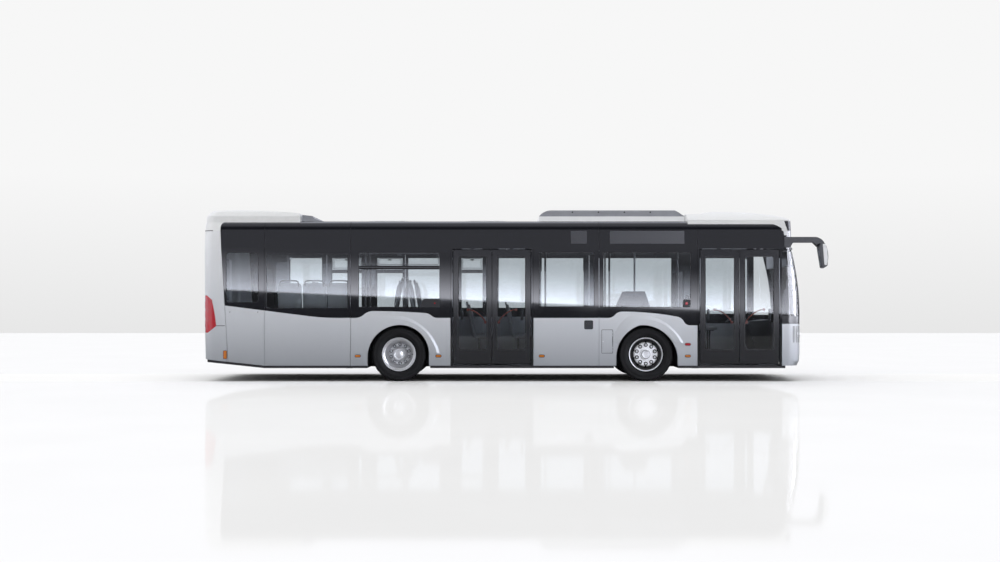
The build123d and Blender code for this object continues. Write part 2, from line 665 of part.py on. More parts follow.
# Front end: lower panel with headlamps, windscreen and header
front_zone = block(X_PILLAR, X_FRONT + BEYOND, -FAR, FAR, 0, WINDSCREEN_FOOT)
HEADLAMP = (690.0, 985.0, 760.0)  # low, high, inner edge from the middle
X_HEADLAMP = X_FRONT - 260.0
front_low = front_end(FRONT_LOW)
front_skin = front_low - front_end(FRONT_LOW, LENS)
headlamps = [front_skin & block(X_HEADLAMP, X_FRONT + BEYOND, *ys, *HEADLAMP[:2])
             for ys in ((HEADLAMP[2], BODY_WIDTH), (-BODY_WIDTH, -HEADLAMP[2]))]
INTAKE = (370.0, 470.0, 520.0)  # air intake in the front panel: low, high, half width
intake = front_skin & block(X_HEADLAMP, X_FRONT + BEYOND, -INTAKE[2], INTAKE[2], *INTAKE[:2])
front_panel = ((front_low - front_end(FRONT_LOW, WALL)) & front_zone) - intake
for lamp in headlamps:
    front_panel = front_panel - lamp
pieces["front_panel"] = as_one([front_panel])
pieces["headlamps"] = as_one(headlamps)
screen_foot = (front_low - front_end(FRONT_LOW, GLASS)) & block(
    X_PILLAR, X_FRONT + BEYOND, -FAR, FAR, WINDSCREEN_FOOT, Z_BELT)
screen = (front_end(FRONT_SCREEN, 0.0, False) - front_end(FRONT_SCREEN, GLASS, False)) & block(
    X_PILLAR, X_FRONT + BEYOND, -FAR, FAR, Z_BELT, Z_HEADER)
pieces["windscreen"] = as_one([screen_foot + screen])
front_top = front_end(FRONT_TOP)
ahead = block(X_PILLAR, X_FRONT + BEYOND, -FAR, FAR, 0, FAR)
pieces["front_header"] = as_one([(front_top - front_end(FRONT_TOP, WALL)) & ahead])

# Roof: rear cover, grilled vent, air conditioner and front dome, seated on the roof skin
COVER_END = X_REAR_AXLE - 1775.0
COVER_TOP = ROOF_TOP + 176.0
COVER_FALL = (X_REAR + 512.0, 67.0, 30.0)  # where the top starts to fall, its fall, length of the steep front
COVER_SLOPE = 0.014  # of the top where it starts to fall
# columns: height above the roof edge, half width, set-back of the end's middle, corner radius
COVER_SECTIONS = (
    (0.0, HALF - COVE_TAPER, 6.0, REAR_CORNER),
    (157.0, HALF - 130.0, 6.0, 180.0),
    (269.0, HALF - 170.0, 12.0, 190.0),
    (345.0, HALF - 240.0, 60.0, 210.0),
    (374.0, HALF - 280.0, 105.0, 220.0),
    (COVER_TOP - Z_CANT, HALF - 420.0, 296.0, 220.0),
)
cover_faces = [end_outline(Z_CANT + rise, half, X_REAR + back, COVER_END, corner, REAR_BOW, -1)
               for rise, half, back, corner in COVER_SECTIONS]
fall_start, fall_end = (COVER_FALL[0], COVER_TOP), (COVER_END - COVER_FALL[2], COVER_TOP - COVER_FALL[1])
above_cover = make_face([
    TangentArc(fall_start, fall_end, tangent=(1, -COVER_SLOPE)),
    Line(fall_end, (COVER_END, ROOF_TOP)),
    Line((COVER_END, ROOF_TOP), (COVER_END, FAR)),
    Line((COVER_END, FAR), (COVER_FALL[0], FAR)),
    Line((COVER_FALL[0], FAR), fall_start),
])
pieces["roof_rear_cover"] = as_one([loft(cover_faces, ruled=True) - ROOF_BODY - side_prism(above_cover)])

VENT_HALF = 900.0
# top line: distance ahead of the cover and height above the roof's middle
VENT_LINE = ((SHUT_LINE, 89.0), (191.0, 68.0), (236.0, 12.0), (413.0, -33.0))
VENT_SLOT = (16.0, 12.0, 60.0)  # width, depth, distance from the sides
VENT_SLOTS = 6
vent_line = [(COVER_END + ahead, ROOF_TOP + rise) for ahead, rise in VENT_LINE]
vent_foot = [(vent_line[-1][0], Z_CANT), (vent_line[0][0], Z_CANT)]
vent_profile = make_face(Polyline(*vent_line, *vent_foot, close=True))
roof_vent = side_prism(vent_profile, -VENT_HALF, VENT_HALF) - ROOF_BODY
for i in range(VENT_SLOTS):
    share = (i + 0.4) / VENT_SLOTS
    (x0, z0), (x1, z1) = vent_line[:2]
    x, top = x0 + share * (x1 - x0), z0 + share * (z1 - z0)
    half = VENT_HALF - VENT_SLOT[2]
    roof_vent = roof_vent - block(x, x + VENT_SLOT[0], -half, half, top - VENT_SLOT[1], top + VENT_SLOT[1])
pieces["roof_vent"] = as_one([roof_vent])

AC_REAR = X_FRONT_AXLE - 1893.0
AC_FRONT = X_CAP - SHUT_LINE
AC_BASE_TOP = ROOF_TOP + 64.0
AC_TOP = AC_BASE_TOP + 115.0
AC_HALF = 850.0
AC_ROUND = 240.0  # length of the round rear end
AC_SLOPE = 175.0  # length of the slanted front end
AC_EDGE = 60.0  # round along both upper side edges
FAN = (215.0, 34.0, 62.0)  # recess radius, depth, hub radius
FAN_BAR = (9.0, 10.0)  # width and height of the bars of the fan guards
FAN_RINGS = (0.55, 0.80)  # guard rings as shares of the recess radius
FANS_X = [AC_REAR + (AC_FRONT - AC_REAR) * share for share in (0.22, 0.41, 0.60, 0.79)]
FANS_Y = 330.0
ac_profile = make_face([
    Line((AC_REAR, Z_CANT), (AC_REAR, AC_BASE_TOP)),
    TangentArc((AC_REAR + AC_ROUND, AC_TOP), (AC_REAR, AC_BASE_TOP), tangent=(-1, 0)),
    Line((AC_REAR + AC_ROUND, AC_TOP), (AC_FRONT - AC_SLOPE, AC_TOP)),
    Line((AC_FRONT - AC_SLOPE, AC_TOP), (AC_FRONT, AC_BASE_TOP)),
    Line((AC_FRONT, AC_BASE_TOP), (AC_FRONT, Z_CANT)),
    Line((AC_FRONT, Z_CANT), (AC_REAR, Z_CANT)),
])
ac_section = Pos(0, (Z_HEADER + AC_TOP) / 2) * RectangleRounded(2 * AC_HALF, AC_TOP - Z_HEADER, AC_EDGE)
ac_solid = (side_prism(ac_profile) & along_x(ac_section, AC_REAR, AC_FRONT)) - ROOF_BODY


def fan_guard(x, y):
    """Hub, rings and cross bars over one fan recess of the air conditioner."""
    radius, depth, hub = FAN
    width, height = FAN_BAR
    top = AC_TOP - height
    guard = z_cylinder(x, y, AC_TOP - depth - 1.0, AC_TOP, hub)
    for share in FAN_RINGS:
        ring = z_cylinder(x, y, top, AC_TOP, share * radius + width / 2)
        guard = guard + (ring - z_cylinder(x, y, top - 1.0, AC_TOP + 1.0, share * radius - width / 2))
    guard = guard + block(x - radius - 1.0, x + radius + 1.0, y - width / 2, y + width / 2, top, AC_TOP)
    return guard + block(x - width / 2, x + width / 2, y - radius - 1.0, y + radius + 1.0, top, AC_TOP)


ac_cover = ac_solid & block(-FAR, FAR, -FAR, FAR, AC_BASE_TOP, FAR)
for x in FANS_X:
    for y in (-FANS_Y, FANS_Y):
        ac_cover = ac_cover - z_cylinder(x, y, AC_TOP - FAN[1], AC_TOP + 1.0, FAN[0])
        ac_cover = ac_cover + fan_guard(x, y)
pieces["ac_base"] = as_one([ac_solid & block(-FAR, FAR, -FAR, FAR, 0, AC_BASE_TOP)])
pieces["ac_cover"] = as_one([ac_cover])

# columns: height above the roof edge, half width, set-back of the end's middle, corner radius
DOME_SECTIONS = (
    (0.0, HALF - COVE_TAPER, 165.0, 100.0),
    (197.0, HALF - 110.0, 164.0, 140.0),
    (249.0, HALF - 180.0, 246.0, 200.0),
    (304.0, HALF - 270.0, 500.0, 260.0),
    (351.0, HALF - 380.0, 844.0, 320.0),
    (368.0, HALF - 480.0, 1381.0, 320.0),
)
# slanted rear of the dome: distance ahead of its start and height above the roof edge
DOME_RAMP = ((0.0, 308.0), (252.0, 316.0), (327.0, 342.0), (472.0, 362.0), (552.0, DOME_SECTIONS[-1][0]))
dome_faces = [end_outline(Z_CANT + rise, half, X_FRONT - back, X_CAP, corner, FRONT_BOW, 1)
              for rise, half, back, corner in DOME_SECTIONS]
ramp = [(X_CAP + ahead, Z_CANT + rise) for ahead, rise in DOME_RAMP]
above_ramp = make_face(Polyline(*ramp, (ramp[-1][0], FAR), (X_CAP, FAR), close=True))
pieces["roof_front_dome"] = as_one([loft(dome_faces, ruled=True) - ROOF_BODY - side_prism(above_ramp)])

# Floor: low slab with a ledge under the skirts, engine bearers, tow eye and jack pads; wheel houses on it
LEDGE_HALF = HALF - 12.0
FLOOR_HALF = HALF - WALL
FLOOR_FRONT = X_PILLAR + 60.0
LEDGE_FRONT = 60.0  # the raised floor ends this far behind the slab's front
SHEET = 15.0  # wheel house wall
FRONT_HOUSE = (-575.0, 575.0, 575.0)  # rear, front, inner side from the middle
REAR_HOUSE = (-560.0, 560.0, 590.0)
HOUSE_TOP = 1030.0
SLAB = Z_SILL - Z_UNDERSIDE
tail_slope = (TAIL_RISE[1][1] - TAIL_RISE[0][1]) / (TAIL_RISE[1][0] - TAIL_RISE[0][0])
FLOOR_REAR = X_REAR + 110.0
z_tail = Z_SILL + tail_slope * (FLOOR_REAR - X_SEAM_1)
slab_profile = make_face(Polyline(
    (FLOOR_FRONT, Z_UNDERSIDE), (FLOOR_FRONT, Z_SILL), (X_SEAM_1, Z_SILL), (FLOOR_REAR, z_tail),
    (FLOOR_REAR, z_tail - SLAB), (X_SEAM_1, Z_UNDERSIDE), close=True))
floor = side_prism(slab_profile, -LEDGE_HALF, LEDGE_HALF)
floor = floor + block(X_SEAM_1, FLOOR_FRONT - LEDGE_FRONT, -FLOOR_HALF, FLOOR_HALF, Z_SILL, Z_FLOOR)
wheel_houses = []
for axle, back, fore, inner in ((X_FRONT_AXLE, *FRONT_HOUSE), (X_REAR_AXLE, *REAR_HOUSE)):
    for side in (-1, 1):
        hollow = block(axle + back, axle + fore, *sorted((side * inner, side * BODY_WIDTH)), 0, HOUSE_TOP)
        ys = sorted((side * (inner - SHEET), side * FLOOR_HALF))
        house = block(axle + back - SHEET, axle + fore + SHEET, *ys, Z_FLOOR, HOUSE_TOP + SHEET)
        wheel_houses.append(house - hollow)
        floor = floor - hollow
# luggage console on the right front wheel house: x from the axle and height above the house
CONSOLE = ((-504.0, 0.0), (-504.0, 250.0), (-360.0, 557.0), (-17.0, 557.0), (92.0, 250.0), (92.0, 0.0))
CONSOLE_GAP = 30.0  # to the side wall
console_points = [(X_FRONT_AXLE + x, HOUSE_TOP + SHEET + z) for x, z in CONSOLE]
console_face = make_face(Polyline(*console_points, close=True))
wheel_houses[0] = wheel_houses[0] + side_prism(console_face, -FLOOR_HALF + CONSOLE_GAP, -FRONT_HOUSE[2])
pieces["wheel_houses"] = as_one(wheel_houses)
ENGINE = (X_REAR + 260.0, X_REAR + 1460.0, 520.0, 420.0, 715.0)  # rear, front, half width, low, high
BEARER = 90.0
for y in (-ENGINE[2] + BEARER, ENGINE[2] - BEARER):
    floor = floor + block(ENGINE[0], ENGINE[1], y - BEARER / 2, y + BEARER / 2, Z_SILL + SLAB / 2, ENGINE[3])
TOW_EYE = (20.0, 60.0)  # bore radius, plate radius
TOW_PLATE = 30.0
X_TOW_EYE = FLOOR_FRONT + 40.0
floor = floor + z_cylinder(X_TOW_EYE, 0, Z_UNDERSIDE, Z_UNDERSIDE + TOW_PLATE, TOW_EYE[1])
floor = floor - z_cylinder(X_TOW_EYE, 0, 0, Z_SILL, TOW_EYE[0])
JACK_PAD = (60.0, 12.0)  # half side and thickness of the lifting pads beside the axles
JACK_PAD_Y = 1000.0
JACK_PAD_X = (X_FRONT_AXLE + 900.0, X_REAR_AXLE - 900.0)
for x in JACK_PAD_X:
    for y in (-JACK_PAD_Y, JACK_PAD_Y):
        half, thick = JACK_PAD
        floor = floor + block(x - half, x + half, y - half, y + half, Z_UNDERSIDE - thick, Z_UNDERSIDE)
pieces["floor_platform"] = as_one([floor])
pieces["engine_block"] = block(ENGINE[0], ENGINE[1], -ENGINE[2], ENGINE[2], ENGINE[3], ENGINE[4])

# Rear platform over the engine, a folded plate from the low floor to the tail
PODIUM = 760.0
HUMP = 1120.0
PLATE = 30.0
X_PODIUM = X_SEAM_2 + 100.0
X_HUMP = X_REAR + 1140.0
X_HUMP_END = X_REAR + 420.0
podium_profile = make_face(Polyline(
    (X_PODIUM, Z_FLOOR), (X_PODIUM, PODIUM), (X_HUMP, PODIUM), (X_HUMP, HUMP), (X_HUMP_END, HUMP),
    (X_HUMP_END, HUMP - PLATE), (X_HUMP - PLATE, HUMP - PLATE), (X_HUMP - PLATE, PODIUM - PLATE),
    (X_PODIUM - PLATE, PODIUM - PLATE), (X_PODIUM - PLATE, Z_FLOOR), close=True))
pieces["rear_podium"] = side_prism(podium_profile, -FLOOR_HALF, FLOOR_HALF)

# Door frames: dark posts at both sides of each doorway
POST_DEPTH = 46.0
frames = []
for x0, x1 in (X_DOOR_1, X_DOOR_2):
    for x in (x0, x1 - DOOR_POST):
        frames.append(wall(-1, x, x + DOOR_POST, Z_SILL, Z_HEADER, depth=POST_DEPTH))
pieces["door_frames"] = as_one(frames)

# Doors: each leaf hangs at its middle on two arms of a turning column and swings into the bus
LEAF = 42.0
LEAF_RECESS = 4.0
LEAF_FOOT = 318.0
LEAF_TOP = 2340.0
EDGE_GAP = 14.0  # leaf to door post
MEETING_GAP = 10.0  # between the two leaves
PIN_OFFSET = 55.0  # from the leaf's inner face to its pin
COLUMN_OFFSET = 45.0  # from the leaf's outer edge to the column
COLUMN_RADIUS = 20.0
PIN_RADIUS = 10.0
ARM = 16.0
ARM_WIDTH = 30.0
CLEAR = 6.0
STILE = 88.0
RAIL_LOW = 250.0
RAIL_TOP = 118.0
LEAF_CORNER = 40.0
BRACKET = 12.0
GRIP_RADIUS = 15.0
GRIP = (1040.0, 1385.0, 35.0)  # low end, high end, stand-off from the leaf
GRIP_FOOT = 35.0  # the grip's feet lie this far from its ends
PANE_RECESS = 6.0
Y_LEAF = -(HALF - LEAF_RECESS)  # outer face of a closed leaf
Y_PIN = Y_LEAF + LEAF + PIN_OFFSET
ARM_LEVELS = (Z_FLOOR + CLEAR, LEAF_TOP + BRACKET + CLEAR)  # undersides of the lower and upper arms


def door_leaf(edge, inward, width):
    """Frame, glass and arm column of one leaf; inward is the way from its outer edge to the other leaf."""
    x0, x1 = sorted((edge, edge + inward * width))
    middle = (x0 + x1) / 2
    column = edge - inward * COLUMN_OFFSET
    pane = side_prism(rounded(x0 + STILE, x1 - STILE, LEAF_FOOT + RAIL_LOW, LEAF_TOP - RAIL_TOP, LEAF_CORNER))
    slab = block(x0, x1, Y_LEAF, Y_LEAF + LEAF, LEAF_FOOT, LEAF_TOP)
    frame = slab - pane
    glass = block(x0, x1, Y_LEAF + PANE_RECESS, Y_LEAF + PANE_RECESS + GLASS, LEAF_FOOT, LEAF_TOP) & pane
    for z in (LEAF_FOOT, LEAF_TOP):
        eye_ys = (Y_LEAF + LEAF - 1.0, Y_PIN + ARM_WIDTH)
        frame = frame + block(middle - ARM_WIDTH, middle + ARM_WIDTH, *eye_ys, z, z + BRACKET)
    for z in (LEAF_FOOT, LEAF_TOP):
        frame = frame - z_cylinder(middle, Y_PIN, z - 1.0, z + BRACKET + 1.0, PIN_RADIUS + RUNNING_CLEARANCE)
    x_grip, y_grip = edge + inward * STILE / 2, Y_LEAF + LEAF + GRIP[2]
    for z in (GRIP[0] + GRIP_FOOT, GRIP[1] - GRIP_FOOT):
        frame = frame + y_cylinder(x_grip, Y_LEAF + LEAF - 1.0, y_grip, z, GRIP_RADIUS)
    frame = frame + z_cylinder(x_grip, y_grip, *GRIP[:2], GRIP_RADIUS)
    post = z_cylinder(column, Y_PIN, Z_FLOOR + RUNNING_CLEARANCE, ARM_LEVELS[1] + ARM, COLUMN_RADIUS)
    for z in ARM_LEVELS:
        xs = sorted((column, middle))
        post = post + block(*xs, Y_PIN - ARM_WIDTH / 2, Y_PIN + ARM_WIDTH / 2, z, z + ARM)
        post = post + z_cylinder(middle, Y_PIN, z, z + ARM, ARM_WIDTH / 2)
    post = post + z_cylinder(middle, Y_PIN, ARM_LEVELS[0], LEAF_FOOT + BRACKET, PIN_RADIUS)
    post = post + z_cylinder(middle, Y_PIN, LEAF_TOP, ARM_LEVELS[1] + ARM, PIN_RADIUS)
    return frame, glass, post


for number, (x0, x1) in ((1, X_DOOR_1), (2, X_DOOR_2)):
    width = (x1 - x0 - 2 * DOOR_POST - 2 * EDGE_GAP - MEETING_GAP) / 2
    reveal = DOOR_POST + EDGE_GAP
    for place, edge, inward in (("rear", x0 + reveal, 1), ("front", x1 - reveal, -1)):
        frame, glass, post = door_leaf(edge, inward, width)
        pieces[f"door_{number}_leaf_{place}"] = as_one([frame])
        pieces[f"door_{number}_glass_{place}"] = as_one([glass])
        pieces[f"door_{number}_column_{place}"] = as_one([post])

# Wheels: rim, disc and hub turned in one, with nuts and vent holes; y outward from the tyre's middle
RIM_HALF = RIM_WIDTH / 2
SEAT = RIM_RADIUS - 14.0
WELL = RIM_RADIUS - 38.0
SKIN = 12.0
DISC = 22.0


def rim_ring():
    """Rim section as (radius, outward) points, without the disc."""
    return [
        (RIM_RADIUS, RIM_HALF), (RIM_RADIUS, RIM_HALF - 11), (SEAT, RIM_HALF - 13), (SEAT, 60), (WELL, 42),
        (WELL, -60), (SEAT, -74), (SEAT, -RIM_HALF + 13), (RIM_RADIUS, -RIM_HALF + 11),
        (RIM_RADIUS, -RIM_HALF),
        (RIM_RADIUS - SKIN, -RIM_HALF), (SEAT - SKIN, -RIM_HALF + 14), (SEAT - SKIN, -80), (WELL - SKIN, -66),
        (WELL - SKIN, 46), (SEAT - SKIN, 64), (SEAT - SKIN, RIM_HALF - 14), (RIM_RADIUS - SKIN, RIM_HALF),
    ]


def tyre_ring():
    """Tyre section as (radius, outward) points, seated on the rim."""
    half = TYRE_WIDTH / 2
    seat, flange = SEAT + RUNNING_CLEARANCE, RIM_RADIUS + RUNNING_CLEARANCE
    bead = RIM_HALF - 13 - RUNNING_CLEARANCE
    return [
        (seat, -bead), (flange, -bead), (flange, -RIM_HALF + 2), (TYRE_RADIUS - 80, -half),
        (TYRE_RADIUS - 15, -half + 14), (TYRE_RADIUS, -half + 36), (TYRE_RADIUS, half - 36),
        (TYRE_RADIUS - 15, half - 14), (TYRE_RADIUS - 80, half), (flange, RIM_HALF - 2), (flange, bead),
        (seat, bead),
    ]


NAVE = STUD_CIRCLE / 2 + 32.0  # radius of the flat disc middle
FRONT_FACE = 100.0  # outer face of the front disc
HUB_BACK = -13.0
VENT_RADIUS = 21.0
BORE_REACH = 70.0  # the spindle bores end this far outside the wheel's middle


def nuts(x, z, y, side):
    """Wheel nuts round an axle, standing out of a disc face at y."""
    ring = []
    for nx, nz in round_pattern(STUD_COUNT, STUD_CIRCLE / 2, x, z):
        prism = extrude(RegularPolygon(NUT_RADIUS, 6), amount=NUT_HEIGHT + 1.0)
        ring.append(Pos(nx, y - side * 1.0, nz) * Rot(-90 * side, 0, 0) * prism)
    return ring


def front_wheel(side):
    """Single front wheel: the disc stands near the outer rim edge."""
    x, y, z = X_FRONT_AXLE, side * FRONT_TRACK / 2, TYRE_RADIUS
    wheel = revolve_y(rim_ring(), x, y, z, side)
    inner = FRONT_FACE - DISC
    disc = [(0, FRONT_FACE), (NAVE, FRONT_FACE), (WELL - 4, 34), (WELL - 4, 10), (NAVE - 8, inner),
            (HUB_RADIUS, inner), (HUB_RADIUS, HUB_BACK), (0, HUB_BACK)]
    wheel = wheel + revolve_y(disc, x, y, z, side)
    cap = [(0, FRONT_FACE - 1), (HUB_RADIUS - 40, FRONT_FACE - 1), (HUB_RADIUS - 46, FRONT_FACE + 30),
           (0, FRONT_FACE + 36)]
    wheel = wheel + revolve_y(cap, x, y, z, side)
    bore = SPINDLE_RADIUS + RUNNING_CLEARANCE
    wheel = wheel - y_cylinder(x, y + side * (HUB_BACK - 1), y + side * BORE_REACH, z, bore)
    for vx, vz in round_pattern(STUD_COUNT, (NAVE + WELL) / 2 - 4, x, z):
        wheel = wheel - y_cylinder(vx, y - side * 20, y + side * 140, vz, VENT_RADIUS)
    for nut in nuts(x, z, y + side * FRONT_FACE, side):
        wheel = wheel + nut
    return wheel


TWIN_HUB_BACK = -40.0
TWIN_HUB_FACE = 100.0
REAR_SPINDLE = 55.0


def rear_wheel(side):
    """Twin rear wheel: two rims whose discs meet at the middle, on one hub."""
    x, y, z = X_REAR_AXLE, side * REAR_TRACK / 2, TYRE_RADIUS
    half = TWIN_SPACING / 2
    outer_rim = [(r, half - out) for r, out in rim_ring()]
    inner_rim = [(r, out - half) for r, out in rim_ring()]
    wheel = revolve_y(outer_rim, x, y, z, side) + revolve_y(inner_rim, x, y, z, side)
    edge = half - 34
    disc = [(HUB_RADIUS - 5, DISC), (NAVE - 8, DISC), (WELL - 4, edge + 24), (WELL - 4, edge), (NAVE, 0),
            (WELL - 4, -edge), (WELL - 4, -edge - 24), (NAVE - 8, -DISC), (HUB_RADIUS - 5, -DISC)]
    wheel = wheel + revolve_y(disc, x, y, z, side)
    hub = [(0, TWIN_HUB_FACE), (HUB_RADIUS - 40, TWIN_HUB_FACE), (HUB_RADIUS - 25, TWIN_HUB_FACE - 15),
           (HUB_RADIUS, DISC + 10), (HUB_RADIUS, TWIN_HUB_BACK), (0, TWIN_HUB_BACK)]
    wheel = wheel + revolve_y(hub, x, y, z, side)
    bore = REAR_SPINDLE + RUNNING_CLEARANCE
    wheel = wheel - y_cylinder(x, y + side * (TWIN_HUB_BACK - 1), y + side * BORE_REACH, z, bore)
    for nut in nuts(x, z, y + side * DISC, side):
        wheel = wheel + nut
    return wheel


SIDES = (("right", -1), ("left", 1))
for name, side in SIDES:
    y = side * FRONT_TRACK / 2
    pieces[f"front_tyre_{name}"] = revolve_y(tyre_ring(), X_FRONT_AXLE, y, TYRE_RADIUS, side)
    pieces[f"front_wheel_{name}"] = as_one([front_wheel(side)])
    pair = [revolve_y(tyre_ring(), X_REAR_AXLE, side * REAR_TRACK / 2 + shift, TYRE_RADIUS, side)
            for shift in (-TWIN_SPACING / 2, TWIN_SPACING / 2)]
    pieces[f"rear_tyres_{name}"] = as_one(pair)
    pieces[f"rear_wheel_{name}"] = as_one([rear_wheel(side)])

# Front axle: dropped beam under the low floor, kingpin bosses at its ends, saddles under the floor
KINGPIN_Y = FRONT_TRACK / 2 - KINGPIN_INSET
BEAM_LOW = 150.0
BEAM_TOP = 226.0
BEAM_WIDTH = 110.0
BOSS_RADIUS = 52.0
BOSS_HALF = 58.0
EAR_GAP = 4.0
EAR = 42.0
PIN_REACH = BOSS_HALF + EAR_GAP + EAR
SPINDLE_PLAY = 5.0  # from a spindle's end to the bottom of its bore
inner_y = FRONT_HOUSE[2] + 15.0
BEAM_END = 49.0  # half height of the beam at the kingpins
rise_points = [(inner_y + 10, BEAM_LOW), (KINGPIN_Y - 55, TYRE_RADIUS - BEAM_END),
               (KINGPIN_Y - 30, TYRE_RADIUS - BEAM_END), (KINGPIN_Y - 30, TYRE_RADIUS + BEAM_END),
               (KINGPIN_Y - 80, TYRE_RADIUS + BEAM_END), (inner_y, BEAM_TOP)]
beam_points = rise_points + [(-y, z) for y, z in reversed(rise_points)]
beam_face = make_face(Polyline(*beam_points, close=True))
front_axle = along_x(beam_face, X_FRONT_AXLE - BEAM_WIDTH / 2, X_FRONT_AXLE + BEAM_WIDTH / 2)
SADDLE_Y = 400.0
SADDLE = (90.0, 60.0, 20.0)  # half length, half width, height above the beam's underside


def saddle(axle, y):
    """The seat of the floor on an axle beam."""
    length, width, rise = SADDLE
    return block(axle - length, axle + length, y - width, y + width, BEAM_LOW + rise, Z_UNDERSIDE)


for y in (-SADDLE_Y, SADDLE_Y):
    front_axle = front_axle + saddle(X_FRONT_AXLE, y)
for side in (-1, 1):
    for reach, radius in ((BOSS_HALF, BOSS_RADIUS), (PIN_REACH, KINGPIN_RADIUS)):
        zs = (TYRE_RADIUS - reach, TYRE_RADIUS + reach)
        front_axle = front_axle + z_cylinder(X_FRONT_AXLE, side * KINGPIN_Y, *zs, radius)
pieces["front_axle"] = as_one([front_axle])


def knuckle(side):
    """Steering knuckle: a fork over the axle's boss, with the wheel spindle."""
    x, y, z = X_FRONT_AXLE, side * KINGPIN_Y, TYRE_RADIUS
    back = [BOSS_RADIUS + 8.0, KINGPIN_INSET + HUB_BACK - 7.0]
    ys = sorted((y + side * back[0], y + side * back[1]))
    low, high = z - PIN_REACH, z + PIN_REACH
    fork = block(x - 60, x + 60, *ys, low, high)
    for z0 in (low, high - EAR):
        fork = fork + block(x - 50, x + 50, *sorted((y, ys[0] if side > 0 else ys[1])), z0, z0 + EAR)
        fork = fork + z_cylinder(x, y, z0, z0 + EAR, 50.0)
    fork = fork - z_cylinder(x, y, low - 1, high + 1, KINGPIN_RADIUS + RUNNING_CLEARANCE)
    reach = KINGPIN_INSET + BORE_REACH - SPINDLE_PLAY
    return fork + y_cylinder(x, y + side * (back[1] - 1), y + side * reach, z, SPINDLE_RADIUS)


for name, side in SIDES:
    pieces[f"knuckle_{name}"] = as_one([knuckle(side)])

# Rear axle: low portal tube under the floor, end housings inside the inner rims, spindles
PORTAL_Y = (REAR_HOUSE[2] + 6.0, REAR_HOUSE[2] + 26.0)
HOUSING_RADIUS = 125.0
PORTAL_LEG = 100.0  # half length of the upright legs
rear_axle = block(X_REAR_AXLE - 80, X_REAR_AXLE + 80, -PORTAL_Y[1], PORTAL_Y[1], BEAM_LOW, BEAM_TOP)
for y in (-SADDLE_Y, SADDLE_Y):
    rear_axle = rear_axle + saddle(X_REAR_AXLE, y)
for side in (-1, 1):
    portal = [side * y for y in PORTAL_Y]
    housing_end = side * (REAR_TRACK / 2 + TWIN_HUB_BACK - 7.0)
    spindle_end = side * (REAR_TRACK / 2 + BORE_REACH - SPINDLE_PLAY)
    leg_xs = (X_REAR_AXLE - PORTAL_LEG, X_REAR_AXLE + PORTAL_LEG)
    rear_axle = rear_axle + block(*leg_xs, *sorted(portal), BEAM_LOW, TYRE_RADIUS + HOUSING_RADIUS)
    rear_axle = rear_axle + y_cylinder(X_REAR_AXLE, portal[0], housing_end, TYRE_RADIUS, HOUSING_RADIUS)
    rear_axle = rear_axle + y_cylinder(X_REAR_AXLE, portal[1], spindle_end, TYRE_RADIUS, REAR_SPINDLE)
pieces["rear_axle"] = as_one([rear_axle])

# Blank route signs let into the cove on the right: from x, to x
SIGN_DEPTH = 10.0
SIGN_LEVELS = (Z_HEADER + 92.0, Z_CANT - 4.0)
SIGNS = ((X_SEAM_3 - 500.0, X_SEAM_3 - 215.0), (X_SEAM_3 + 195.0, X_SEAM_3 + 1518.0))
cove_run = along_x(cove_section(-1), X_SEAM_2, X_DOOR_1[0])
sign_skin = cove_run - Pos(0, SIGN_DEPTH, 0) * cove_run
signs = [sign_skin & side_prism(rectangle(x0, x1, *SIGN_LEVELS)) for x0, x1 in SIGNS]
coves = pieces["cove_panels_right"]
for sign in signs:
    coves = coves - sign
pieces["cove_panels_right"] = as_one([coves])
pieces["route_signs"] = as_one(signs)

# Side marker lamps on both skirts: x and z of their middles
MARKER = (90.0, 34.0, 9.0)  # length, height, how far proud
MARKERS = (
    (X_REAR_AXLE - 725.0, 452.0),
    (X_REAR_AXLE + 708.0, 452.0),
    (X_SEAM_3 - 1018.0, 452.0),
    (X_FRONT_AXLE + 738.0, 452.0),
    (X_FRONT_AXLE + 738.0, 659.0),
)
markers = []
for x, z in MARKERS:
    outline = Pos(x, z) * SlotOverall(MARKER[0], MARKER[1])
    markers.append(side_prism(outline, HALF, HALF + MARKER[2]))
    markers.append(side_prism(outline, -HALF - MARKER[2], -HALF))
pieces["marker_lamps"] = as_one(markers)

# Mirrors: arm from a foot on the header corner, bent down to a slim head ahead of the windscreen
ARM_Z = (2467.0, 2567.0)
ARM_FOOT = (X_PILLAR + 40.0, 100.0, 54.0, 87.0)  # start, length, length of its slant, depth under the arm
MIRROR_TIP = X_FRONT + MIRROR_REACH
# distances behind the tip: start of the arm's outer bend and end, start of its inner bend and end
ARM_BENDS = (204.0, 31.0, 224.0, 125.0)
ARM_DROPS = (5.0, 95.0)  # outer and inner bend end this far under the arm
MIRROR_FOOT = 2007.0  # low end of the head
# head outline, distance behind the tip and height above its low end: an arc from tip to top, then lines
HEAD_ARC = ((0.0, 190.0), (55.0, 440.0))
HEAD_LINE = ((16.0, 44.0), (83.0, 0.0), (107.0, 16.0), (162.0, 358.0), (135.0, 440.0))
MIRROR_OUT = (HALF - 20.0, HALF + 150.0)  # head, from the middle
ARM_OUT = (HALF - 110.0, HALF + 8.0)


def mirror_arm():
    """Side-view face of the foot, arm and bend of a mirror."""
    foot, length, slant, depth = ARM_FOOT
    outer_0, outer_1, inner_0, inner_1 = [MIRROR_TIP - back for back in ARM_BENDS]
    low, high = ARM_Z
    outer_end, inner_end = (outer_1, low - ARM_DROPS[0]), (inner_1, low - ARM_DROPS[1])
    points = [(foot, high), (foot, low - depth), (foot + length, low - depth), (foot + length + slant, low),
              (inner_0, low), inner_end, outer_end]
    edges = [Line(a, b) for a, b in zip(points, points[1:])]
    bend = TangentArc((outer_0, high), outer_end, tangent=(1, 0))
    return make_face(edges + [bend, Line((outer_0, high), (foot, high))])


